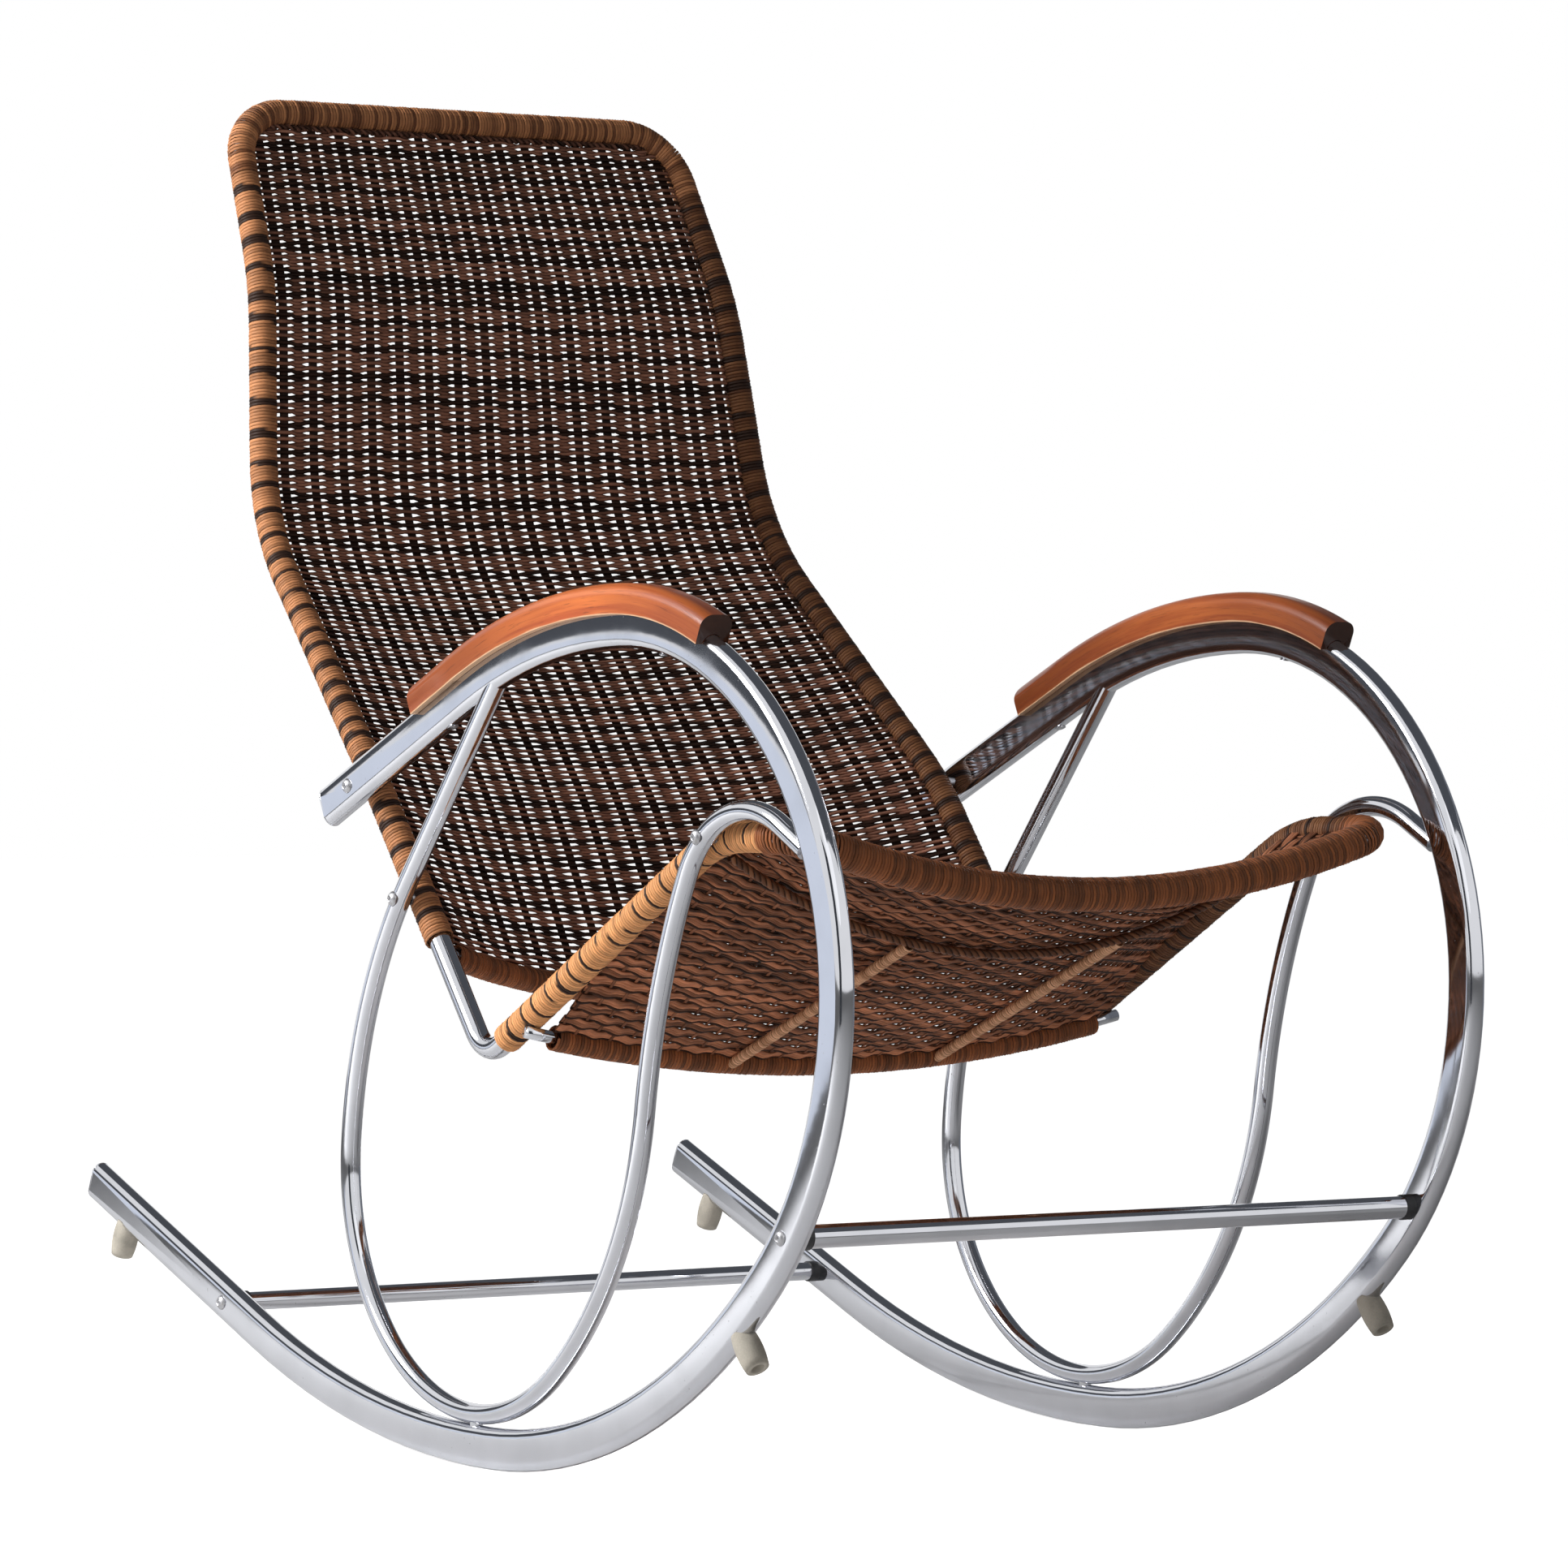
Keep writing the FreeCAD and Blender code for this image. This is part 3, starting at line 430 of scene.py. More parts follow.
def wood_finish(name, wood, painted_shade):
    """Reddish lacquered wood, with a painted pool of light near the middle of the arm.

    The grain runs along the arm, the lower edges are worn and the front end face is painted nearly black as
    painted shade.
    """
    finish = Finish(name)
    grain = finish.attribute_vector("grain")
    stripes = finish.noise(finish.scaled(grain, (7.0, 190.0, 190.0)), 1.0, 3.0, 0.55)
    pores = finish.noise(finish.scaled(grain, (55.0, 1500.0, 1500.0)), 1.0, 2.0, 0.5)
    clouds = finish.noise(finish.scaled(grain, (9.0, 30.0, 30.0)), 1.0, 2.0)
    tint = finish.mix(stripes.step(0.38, 0.68), tuple(wood.light), tuple(wood.dark))
    run = Signal(finish, finish.add("ShaderNodeSeparateXYZ", {}, {"Vector": grain}).outputs["X"])
    # Painted light: glow is a pool of light painted along the arm; away from it the wood is painted darker,
    # as painted shade.
    glow = (1.0 - abs(run - wood.painted_light_place) / wood.painted_light_reach).step(0.0, 1.0)
    tint = finish.mix(glow, finish.mix(0.45, tint, tuple(wood.dark)), tint)
    # The last factor is painted shade: it darkens the whole far armrest, and is 1 on the near one.
    tint = finish.shade(tint, (0.66 + clouds * 0.68) * (0.62 + glow * 0.46) * painted_shade)
    tint = finish.mix(pores.step(0.60, 0.72) * 0.55, tint, (0.10, 0.025, 0.010))
    wear = finish.noise(finish.scaled(grain, (40.0, 200.0, 200.0)), 1.0, 3.0)
    edge = (1.0 - (finish.attribute("height") + wear * 0.08).step(0.05, 0.10)) * 0.8
    tint = finish.mix(edge, tint, tuple(wood.worn))
    # Painted shade: the front end face is painted nearly black.
    tint = finish.mix(finish.attribute("end") * 0.92, tint, (0.030, 0.011, 0.006))
    rough = 0.30 + stripes * 0.10 + edge * 0.30
    normal = finish.bump(pores * 0.6 + stripes * 0.4, 0.00012)
    finish.set(Base_Color=tint, Roughness=rough, Specular_IOR_Level=0.3, Normal=normal)
    return finish.set(Coat_Weight=wood.lacquer * (1.0 - edge), Coat_Roughness=0.12)


def strand_signals(finish):
    """Values that every strand carries: tone, band, marks that run along it, and painted shade on its
    flanks.
    """
    tone = finish.attribute("tone")
    band = finish.attribute("band")
    run = finish.attribute("run")
    fibre = finish.noise(finish.combine(run * 160.0, tone * 91.0, band * 7.0), 1.0, 3.0, 0.6)
    flecks = finish.noise(finish.combine(run * 45.0, tone * 63.0, band * 3.0), 1.0, 2.0)
    normal = finish.add("ShaderNodeTexCoord", {}, {}).outputs["Normal"]
    facing = finish.attribute_vector("facing")
    turned = finish.add("ShaderNodeVectorMath", {"operation": "DOT_PRODUCT"}, {0: normal, 1: facing})
    # Painted shade: a strand gets darker towards its flanks, where it meets its neighbours.
    painted_flank_shade = abs(Signal(finish, turned.outputs["Value"]))
    return tone, band, fibre, flecks, painted_flank_shade.step(0.05, 0.85)


def weave_finish(name, dark, light):
    """Varnished rattan strands, dark and brown in bands of rows."""
    finish = Finish(name)
    tone, band, fibre, flecks, painted_flank_shade = strand_signals(finish)
    pale = (tone * 0.55 + flecks.step(0.35, 0.75) * 0.45) * (1.0 - band * 0.92)
    tint = finish.mix(pale, dark, light)
    # Painted shade: each strand is painted darker towards its flanks.
    tint = finish.shade(tint, (0.70 + fibre * 0.6) * (0.35 + painted_flank_shade * 0.65))
    rough = 0.45 + fibre * 0.25
    normal = finish.bump(fibre, 0.00018)
    return finish.set(Base_Color=tint, Roughness=rough, Specular_IOR_Level=0.12, Normal=normal)


def wound_finish(name, wrap, pale, deep, spread):
    """Varnished wound rattan; pale and deep are its lightest and darkest turns."""
    finish = Finish(name)
    tone, band, fibre, flecks, painted_flank_shade = strand_signals(finish)
    tint = finish.mix((tone * spread + flecks * (1.0 - spread)).step(0.15, 0.85), deep, pale)
    tint = finish.mix(band, tint, tuple(wrap.dark))
    # Painted shade: each turn is painted darker towards its flanks, in the grooves between turns.
    tint = finish.shade(tint, (0.72 + fibre * 0.55) * (0.25 + painted_flank_shade * 0.75))
    rough = 0.38 + fibre * 0.25
    normal = finish.bump(fibre, 0.00018)
    return finish.set(Base_Color=tint, Roughness=rough, Specular_IOR_Level=0.2, Normal=normal)


# Paths, in millimetres.


def mirror(points):
    """Points on the other side of the chair."""
    return np.asarray(points) * (-1.0, 1.0, 1.0)


def unit(vectors):
    """Vectors of length 1."""
    vectors = np.asarray(vectors, float)
    return vectors / np.linalg.norm(vectors, axis=-1, keepdims=True)


def arc(first, middle, last, count=160):
    """Points on the circle through three points."""
    a, b = middle - first, last - first
    normal = np.cross(a, b)
    across = np.cross(normal, a) * (b @ b) + np.cross(b, normal) * (a @ a)
    centre = first + across / (2 * normal @ normal)
    ray = first - centre
    side = np.cross(unit(normal), ray)
    turn = math.atan2((last - centre) @ side, (last - centre) @ ray) % (2 * math.pi)
    angles = np.linspace(0.0, turn, count)[:, None]
    return centre + np.cos(angles) * ray + np.sin(angles) * side


def bent(corners, radii):
    """Points along straight runs joined by a tangent bend at each inner corner."""
    pieces = [np.asarray(corners[:1], float)]
    for before, corner, after, radius in zip(corners, corners[1:], corners[2:], radii):
        back, ahead = unit(before - corner), unit(after - corner)
        half = math.acos(np.clip(back @ ahead, -1.0, 1.0)) / 2
        run = radius / math.tan(half)
        peak = corner + unit(back + ahead) * (radius / math.sin(half) - radius)
        pieces.append(arc(corner + back * run, peak, corner + ahead * run, 60))
    pieces.append(np.asarray(corners[-1:], float))
    return np.concatenate(pieces)


def spaced(points, step):
    """The same path as points at an even distance, with its unit directions."""
    gaps = np.linalg.norm(np.diff(points, axis=0), axis=1)
    keep = np.concatenate([[True], gaps > 1e-6])
    points = points[keep]
    reach = np.concatenate([[0.0], np.cumsum(np.linalg.norm(np.diff(points, axis=0), axis=1))])
    count = max(2, int(round(reach[-1] / step)) + 1)
    places = np.linspace(0.0, reach[-1], count)
    even = np.stack([np.interp(places, reach, points[:, k]) for k in range(3)], axis=1)
    return even, unit(np.gradient(even, axis=0)), places


def side_path(start, heading, moves):
    """Points at about 1 mm along bends and runs in a side plane, and their headings in radians.

    A heading of 0 is rearward and a quarter turn is up.
    """
    points, angles = [np.array(start, float)], [math.radians(heading)]
    for radius, amount in moves:
        run = amount if radius == 0 else radius * math.radians(abs(amount))
        count = max(1, round(run))
        turn = 0.0 if radius == 0 else math.radians(amount) / count
        for _ in range(count):
            middle = angles[-1] + turn / 2
            points.append(points[-1] + np.array((0.0, math.cos(middle), math.sin(middle))) * (run / count))
            angles.append(angles[-1] + turn)
    return np.array(points), np.array(angles)


def trimmed(points, start, end):
    """A path without its first and last stretch."""
    even, _, places = spaced(points, 1.0)
    return even[(places >= start) & (places <= places[-1] - end)]


def carried(directions, first):
    """Sideways unit vectors along a path, turned no more than the path itself turns."""
    sides = np.empty_like(directions)
    side = np.asarray(first, float)
    for k, direction in enumerate(directions):
        side = unit(side - direction * (side @ direction))
        sides[k] = side
    return sides


# Strands.


def around(angle, side, over):
    """Unit vectors at an angle round a path, from side towards over."""
    return np.cos(angle)[:, None] * side + np.sin(angle)[:, None] * over


def store(mesh, name, values, domain="POINT"):
    """Keeps a number or a vector for each point or face of a mesh."""
    kind, field = ("FLOAT_VECTOR", "vector") if values.ndim == 2 else ("FLOAT", "value")
    layer = mesh.attributes.new(name, kind, domain)
    layer.data.foreach_set(field, values.astype(np.float32).ravel())


class Strands:
    """Polylines that one sweep turns into rattan strands."""

    # Side where winding starts, how far turns vary in radius (mm), how far the gaps and widths of dark
    # bands vary, and how far apart the marks of two strands may start (m).
    first_side = (0.31, 0.52, 0.79)
    turn_swell = 0.18
    band_gaps = (0.75, 1.25)
    band_widths = (0.6, 1.3)
    run_shift = 5.0

    def __init__(self, seed):
        self.chance = np.random.default_rng(seed)
        self.lines = []

    def lay(self, points, facing, tone, band):
        """Adds one strand; facing is the way that its flat side looks."""
        gaps = np.linalg.norm(np.diff(points, axis=0), axis=1)
        run = np.concatenate([[0.0], np.cumsum(gaps)]) * MM + self.chance.uniform(0.0, self.run_shift)
        full = np.ones(len(points))
        self.lines.append((points * MM, facing, full * tone, full * band, run))

    def across(self, path, step):
        """Even points along a path, their places, and two ways across it at each."""
        centre, ahead, places = spaced(path, step)
        side = carried(ahead, self.first_side)
        return centre, places, side, np.cross(ahead, side)

    def wind(self, path, radius, pitch, per_turn, bands=None):
        """Winds one strand round a path; bands gives (spacing, width) of dark turns."""
        centre, places, side, over = self.across(path, pitch / per_turn)
        number = np.arange(len(centre))
        out = around(number * (2 * math.pi / per_turn), side, over)
        turn = np.floor(number / per_turn).astype(int)
        swell = self.chance.uniform(-self.turn_swell, self.turn_swell, turn[-1] + 1)
        tones = self.chance.uniform(0.0, 1.0, turn[-1] + 1)
        points = centre + out * (radius + swell[turn])[:, None]
        dark = np.zeros(len(centre))
        if bands:
            spacing, width = bands
            gaps = self.chance.uniform(*self.band_gaps, int(places[-1] / spacing) + 3)
            starts = np.cumsum(gaps) * spacing
            widths = self.chance.uniform(*self.band_widths, len(starts)) * width
            last = np.searchsorted(starts, places) - 1
            dark = ((last >= 0) & (places - starts[last] < widths[last])).astype(float)
        self.lay(points, out, tones[turn], dark)

    def twist(self, path, radius, pitch, step, tones):
        """Lays a rope round a path, with one strand for each tone."""
        centre, places, side, over = self.across(path, step)
        for k, tone in enumerate(tones):
            out = around(places * (2 * math.pi / pitch) + 2 * math.pi * k / len(tones), side, over)
            self.lay(centre + out * radius, out, tone, 0.0)

    def polylines(self, name):
        """The strands as a mesh of edges with their values on its points."""
        points, facing, tone, band, run = (np.concatenate(parts) for parts in zip(*self.lines))
        sizes = [len(line[0]) for line in self.lines]
        starts = np.cumsum([0] + sizes[:-1])
        first = np.concatenate([np.arange(start, start + size - 1) for start, size in zip(starts, sizes)])
        mesh = bpy.data.meshes.new(name)
        mesh.from_pydata(points.tolist(), np.stack([first, first + 1], 1).tolist(), [])
        for key, values in (("facing", facing), ("tone", tone), ("band", band), ("run", run)):
            store(mesh, key, values)
        return mesh


def sweep_tree():
    """Geometry Nodes tree that sweeps a flat oval along every polyline."""
    tree = bpy.data.node_groups.new("rattan_strands", "GeometryNodeTree")
    tree.interface.new_socket("Strands", in_out="OUTPUT", socket_type="NodeSocketGeometry")
    kinds = {
        "Polylines": "NodeSocketGeometry",
        "Width": "NodeSocketFloat",
        "Thickness": "NodeSocketFloat",
        "Sides": "NodeSocketInt",
        "Finish": "NodeSocketMaterial",
    }
    for label, kind in kinds.items():
        tree.interface.new_socket(label, in_out="INPUT", socket_type=kind)
    new = tree.nodes.new
    given, made = new("NodeGroupInput"), new("NodeGroupOutput")
    curve = new("GeometryNodeMeshToCurve")
    facing = new("GeometryNodeInputNamedAttribute")
    facing.data_type = "FLOAT_VECTOR"
    facing.inputs["Name"].default_value = "facing"
    turn = new("GeometryNodeSetCurveNormal")
    turn.mode = "FREE"
    circle = new("GeometryNodeCurvePrimitiveCircle")
    circle.inputs["Radius"].default_value = 0.5
    size = new("ShaderNodeCombineXYZ")
    size.inputs["Z"].default_value = 1.0
    oval = new("GeometryNodeTransform")
    swept = new("GeometryNodeCurveToMesh")
    swept.inputs["Fill Caps"].default_value = True
    smooth = new("GeometryNodeSetShadeSmooth")
    real = new("GeometryNodeRealizeInstances")
    coat = new("GeometryNodeSetMaterial")
    links = (
        (given, "Polylines", curve, "Mesh"),
        (curve, "Curve", turn, "Curve"),
        (facing, "Attribute", turn, "Normal"),
        (given, "Sides", circle, "Resolution"),
        (given, "Thickness", size, "X"),
        (given, "Width", size, "Y"),
        (circle, "Curve", oval, "Geometry"),
        (size, "Vector", oval, "Scale"),
        (turn, "Curve", swept, "Curve"),
        (oval, "Geometry", swept, "Profile Curve"),
        (swept, "Mesh", smooth, "Geometry"),
        (smooth, "Geometry", real, "Geometry"),
        (real, "Geometry", coat, "Geometry"),
        (given, "Finish", coat, "Material"),
        (coat, "Geometry", made, "Strands"),
    )
    for source, output, target, socket in links:
        tree.links.new(source.outputs[output], target.inputs[socket])
    return tree


def sweep(name, strands, material, width, thickness, sides):
    """A finished mesh object made from laid strands; width and thickness are in metres."""
    tree = bpy.data.node_groups.get("rattan_strands") or sweep_tree()
    names = {item.name: item.identifier for item in tree.interface.items_tree if item.in_out == "INPUT"}
    piece = bpy.data.objects.new(name, strands.polylines(name + "_lines"))
    bpy.context.scene.collection.objects.link(piece)
    modifier = piece.modifiers.new("strands", "NODES")
    modifier.node_group = tree
    inputs = {"Width": float(width), "Thickness": float(thickness), "Sides": sides, "Finish": material}
    for label, value in inputs.items():
        modifier[names[label]] = value
    graph = bpy.context.evaluated_depsgraph_get()
    swept = piece.evaluated_get(graph)
    mesh = bpy.data.meshes.new_from_object(swept, preserve_all_data_layers=True, depsgraph=graph)
    if not mesh.polygons:
        raise RuntimeError("no strands were swept for " + name)
    piece.modifiers.clear()
    lines = piece.data
    piece.data = mesh
    mesh.name = name
    bpy.data.meshes.remove(lines)
    return piece


def settle(piece, slot, *nodes):
    """Rides a finished piece on the chair, in place of its CAD nodes."""
    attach(piece, BODY)
    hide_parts(*nodes)
    return piece


def arm_places(mesh):
    """Where the points of a mesh lie on the arm.

    Returns the points, their places along the arm and their heights over its middle, in millimetres, and
    the arm's headings there.
    """
    spots = np.empty(len(mesh.vertices) * 3, np.float32)
    mesh.vertices.foreach_get("co", spots)
    spots = spots.reshape(-1, 3).astype(float) / MM
    line, headings = side_path(ARM_START, ARM_HEADING, ARM_MOVES)
    near = np.argmin(((spots[:, None, 1:] - line[None, :, 1:]) ** 2).sum(-1), axis=1)
    offset = spots[:, 1:] - line[near, 1:]
    heading = headings[near]
    rise = -np.sin(heading) * offset[:, 0] + np.cos(heading) * offset[:, 1]
    ahead = np.cos(heading) * offset[:, 0] + np.sin(heading) * offset[:, 1]
    return spots, near + ahead, rise, heading


def dressed_copy(node, name, material, slot, crisp):
    """Smooth copy of a CAD node; edges sharper than crisp, in degrees, stay so."""
    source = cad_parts[node]
    mesh = source.data.copy()
    mesh.name = name
    shell = bmesh.new()
    shell.from_mesh(mesh)
    bmesh.ops.remove_doubles(shell, verts=shell.verts, dist=WELD_DISTANCE)
    shell.to_mesh(mesh)
    shell.free()
    mesh.materials.clear()
    mesh.materials.append(material)
    mesh.shade_smooth()
    mesh.set_sharp_from_angle(angle=math.radians(crisp))
    piece = bpy.data.objects.new(name, mesh)
    bpy.context.scene.collection.objects.link(piece)
    return settle(piece, slot, node)


# Panels of the weave.


class BackPanel:
    """The dished back between the rails, from the lower bar up to the top bar."""

    # How far strand ends reach into the wraps, and the dish that is left at the top bar, in millimetres.
    tuck = 2.0
    least_sag = 1.0

    def __init__(self):
        path = bent([LOWER_BAR_END, ARM, KNEE, NECK, TOP], BACK_RADII)
        self.rail, self.along, self.places = spaced(path, step=1.0)
        self.length = self.places[-1]
        corner = math.acos(unit(NECK - TOP) @ (-1.0, 0.0, 0.0))
        self.corner_run = TOP_CORNER_RADIUS / math.tan(corner / 2)

    def pick(self, place, rows):
        """Values at a height, from rows of values along the rail."""
        return np.stack([np.interp(place, self.places, rows[:, k]) for k in range(3)], -1)

    def at(self, place, lean):
        """Point, way up the panel and way out to the sitter; lean is -1 at one rail and 1 at the other."""
        rail = self.pick(place, self.rail)
        along = unit(self.pick(place, self.along) * (0.0, 1.0, 1.0))
        front = np.stack([0.0 * along[..., 0], -along[..., 2], along[..., 1]], -1)
        sag = LOWER_BAR_BOW * (1.0 - place / self.length) ** 2 + self.least_sag
        half = rail[..., 0] - RAIL_WRAP_RADIUS / 2
        radius = (half ** 2 + sag ** 2) / (2 * sag)
        angle = np.arcsin(half / radius) * lean
        centre = rail * (0.0, 1.0, 1.0) + front * (radius - sag)[..., None]
        point = centre - front * (radius * np.cos(angle))[..., None]
        point[..., 0] += radius * np.sin(angle)
        out = front * np.cos(angle)[..., None]
        out[..., 0] -= np.sin(angle)
        return point, along, out

    def reach(self, place):
        """Largest lean of a strand at a height, so that it ends inside the wraps."""
        rail = np.interp(place, self.places, self.rail[:, 0])
        edge = RAIL_WRAP_RADIUS - self.tuck
        limit = rail - edge
        below = self.length - place
        if below < TOP_CORNER_RADIUS:
            inner = max((TOP_CORNER_RADIUS - edge) ** 2 - (TOP_CORNER_RADIUS - below) ** 2, 0.0)
            limit = min(limit, TOP[0] - self.corner_run + math.sqrt(inner))
        return limit / (rail - RAIL_WRAP_RADIUS / 2)


class SeatPanel:
    """The dished seat from the rear bar to the front bar."""

    # How far strand ends reach into the wraps (mm), and the steps over which directions are taken.
    tuck = 1.0
    place_step = 1.0
    lean_step = 0.01
    length = float(np.linalg.norm(FRONT_MIDDLE - REAR_BAR_MIDDLE))
    half = SEAT[0] - RAIL_WRAP_RADIUS / 2

    def raw(self, place, lean):
        """Point of the panel; lean is -1 at one rail and 1 at the other."""
        middle = REAR_BAR_MIDDLE + (FRONT_MIDDLE - REAR_BAR_MIDDLE) * (place / self.length)[..., None]
        rail = np.minimum(FOOT[2] + (FOOT[1] - middle[..., 1]) * SEAT_SLOPE, SEAT[2])
        bar_sag = self.half ** 2 / (2 * REAR_BAR_RADIUS)
        grown = np.clip(place / REAR_EDGE_RUN, 0.0, 1.0)
        sag = bar_sag + (rail - middle[..., 2] - bar_sag) * grown
        radius = (self.half ** 2 + sag ** 2) / (2 * sag)
        angle = np.arcsin(self.half / radius) * lean
        point = middle.copy()
        point[..., 0] = radius * np.sin(angle)
        point[..., 2] += radius * (1.0 - np.cos(angle))
        return point

    def at(self, place, lean):
        """Point, way along the panel and way up to the sitter."""
        place, lean = np.broadcast_arrays(np.asarray(place, float), np.asarray(lean, float))
        along = unit(self.raw(place + self.place_step, lean) - self.raw(place - self.place_step, lean))
        across = unit(self.raw(place, lean + self.lean_step) - self.raw(place, lean - self.lean_step))
        return self.raw(place, lean), along, unit(np.cross(across, along))

    def reach(self, _place):
        """Largest lean of a strand, which is the same along the whole seat."""
        return (SEAT[0] - RAIL_WRAP_RADIUS + self.tuck) / self.half


def over_under(stake, turn, end, fall):
    """Swing of a strand past the stakes, 1 in front and -1 behind.

    On the way from a stake, at 0, to the middle between two, at 1, it falls to 0 over fall before end.
    """
    whole = np.floor(stake)
    off = np.abs(2 * (stake - whole) - 1.0)
    return np.clip((end - off) / fall, 0.0, 1.0) * np.where((whole + turn) % 2 == 0, 1.0, -1.0)


def row_shades(chance, count, pitch):
    """Tone and band of each woven row: brown rows, with a few dark ones about every 20 mm."""
    tones, bands = [], []
    while len(tones) < count:
        brown = int(round(chance.uniform(*BROWN_RUNS) / pitch))
        dark = int(round(chance.uniform(*DARK_RUNS) / pitch))
        level = chance.uniform(*ROW_TONES)
        tones += [np.clip(level + chance.normal(0.0, TONE_SPREAD), 0.0, 1.0) for _ in range(brown + dark)]
        bands += [0.0] * brown + [1.0] * dark
    return tones[:count], bands[:count]


# Operators.


class RockerOperator:
    """What the chair's operators share."""

    bl_options = {"REGISTER", "UNDO"}


class ROCKER_OT_chrome(RockerOperator, bpy.types.Operator):
    """Polish the hoops, loops, frame tube, stretchers, caps and bars"""

    bl_idname = "rocker.chrome"
    bl_label = "Chrome Tubes"

    def execute(self, context):
        chrome = chrome_finish(context.scene.rocker_metal)
        nodes = ["tail_caps", "arm_caps", "loop_welds", "front_stretcher", "rear_stretcher"]
        nodes += ["lower_back_bar", "rear_seat_bar"]
        for side in ("left", "right"):
            nodes += [side + "_hoop", side + "_frame_tube"]
        for node in nodes:
            dressed_copy(node, node + "_chrome", chrome, "chrome_tube", crisp=35)
        self.bend_loops(chrome)
        return {"FINISHED"}

    def bend_loops(self, chrome):
        """Sweeps the inner loops, so that their hooked ends run into the hoops."""
        path, _, _ = spaced(side_path(LOOP_START, LOOP_HEADING, LOOP_MOVES)[0], step=3.0)
        across = np.tile((1.0, 0.0, 0.0), (len(path), 1))
        size = LOOP_DIAMETER * MM
        for side, points in (("left", path), ("right", mirror(path))):
            loop = Strands(seed=21)
            loop.lay(points, across, 0.0, 0.0)
            piece = sweep(side + "_inner_loop_chrome", loop, chrome, size, size, sides=32)
            settle(piece, "chrome_tube", side + "_inner_loop")


class ROCKER_OT_fasteners(RockerOperator, bpy.types.Operator):
    """Plate the bolts, screws, inserts and plugs"""

    bl_idname = "rocker.fasteners"
    bl_label = "Fasteners"

    def execute(self, context):
        steel = steel_finish(context.scene.rocker_metal)
        nodes = ["arm_bolts", "back_rail_bolts", "seat_bolts", "front_stretcher_bolts"]
        nodes += ["rear_stretcher_bolts", "bumper_screws", "armrest_screws", "frame_inserts"]
        nodes += ["stretcher_plugs"]
        for node in nodes:
            piece = dressed_copy(node, node + "_plated", steel, "plated_steel", crisp=30)
            if node == "armrest_screws":
                self.sink_heads(piece.data)
        return {"FINISHED"}

    def sink_heads(self, mesh):
        """Presses the heads of the armrest screws nearly flush with the tube."""
        spots, _, rise, heading = arm_places(mesh)
        lift = np.maximum(-HOOP_HALF_HEIGHT - FLUSH_HEAD - rise, 0.0)
        spots[:, 1] -= np.sin(heading) * lift
        spots[:, 2] += np.cos(heading) * lift
        mesh.vertices.foreach_set("co", (spots * MM).astype(np.float32).ravel())
        mesh.update()


class ROCKER_OT_bumpers(RockerOperator, bpy.types.Operator):
    """Mould the rubber bumpers and the stretcher collars"""

    bl_idname = "rocker.bumpers"
    bl_label = "Bumpers and Collars"

    def execute(self, context):
        metal = context.scene.rocker_metal
        rubber = rubber_finish(metal)
        for node in ("front_bumpers", "rear_bumpers"):
            dressed_copy(node, node + "_rubber", rubber, "bumper_rubber", crisp=40)
        plastic = plastic_finish(metal)
        dressed_copy("stretcher_collars", "stretcher_collars_black", plastic, "black_plastic", crisp=40)
        return {"FINISHED"}


class ROCKER_OT_armrests(RockerOperator, bpy.types.Operator):
    """Lacquer the wooden armrests, with the grain along the arm"""

    bl_idname = "rocker.armrests"
    bl_label = "Armrests"

    # Distance between the grain of the two arms (m), and how squarely an end face looks forward.
    grain_shift = 0.31
    end_facing = 0.95

    def execute(self, context):
        wood = context.scene.rocker_wood
        # The far (left) armrest is painted darker as painted shade; the near one keeps its full tone.
        for side, sign, painted_shade in (("left", 1.0, wood.far_painted_shade), ("right", -1.0, 1.0)):
            finish = wood_finish(side + "_lacquered_wood", wood, painted_shade)
            piece = dressed_copy(side + "_armrest", side + "_armrest_wood", finish, "arm_wood", crisp=35)
            self.lay_grain(piece.data, sign)
        return {"FINISHED"}

    def lay_grain(self, mesh, sign):
        """Stores coordinates along and across the arm, where the edges are worn, and the forward end faces
        that get painted shade.
        """
        spots, run, rise, _ = arm_places(mesh)
        across = spots[:, 0] * sign - ARM_START[0]
        store(mesh, "grain", np.stack([run, across, rise], 1) * MM + (0.0, self.grain_shift * sign, 0.0))
        store(mesh, "height", (rise - rise.min()) / (rise.max() - rise.min()))
        faces = np.empty(len(mesh.polygons) * 3, np.float32)
        mesh.polygons.foreach_get("normal", faces)
        start = np.array((math.cos(math.radians(ARM_HEADING)), math.sin(math.radians(ARM_HEADING))))
        # End faces that look forward, which the material paints nearly black as painted shade.
        store(mesh, "end", faces.reshape(-1, 3)[:, 1:] @ start < -self.end_facing, "FACE")


class WeaveOperator(RockerOperator):
    """What the operators of the two woven panels share."""

    def settle_part(self, part, strands, material, **section):
        """Sweeps strands into a piece of the panel."""
        piece = sweep(self.panel_name + part, strands, material, **section)
        settle(piece, "rattan_weave", self.panel_name + "_weave")

    def settle_rows(self, groups, material, **section):
        """Sweeps the sections of woven rows."""
        for k, group in enumerate(groups):
            self.settle_part("_rows_%d" % (k + 1), group, material, **section)

    def lay_stakes(self, panel, count, seed, places, tone, band, material, **section):
        """Lays the stakes, from bar to bar, as far as they stay between the wraps."""
        stakes = Strands(seed)
        for k in range(count):
            lean = (2 * k + 1) / count - 1.0
            inside = places[[abs(lean) < panel.reach(place) for place in places]]
            point, _, out = panel.at(inside, np.full_like(inside, lean))
            stakes.lay(point, out, stakes.chance.uniform(0.0, tone), band)
        self.settle_part("_stakes", stakes, material, **section)

    def drift(self, lean, place):
        """Slow waves of a row; each has a size in millimetres and turns with lean and with place."""
        return sum(size * np.sin(turns * lean + place / run) for size, turns, run in self.waves)


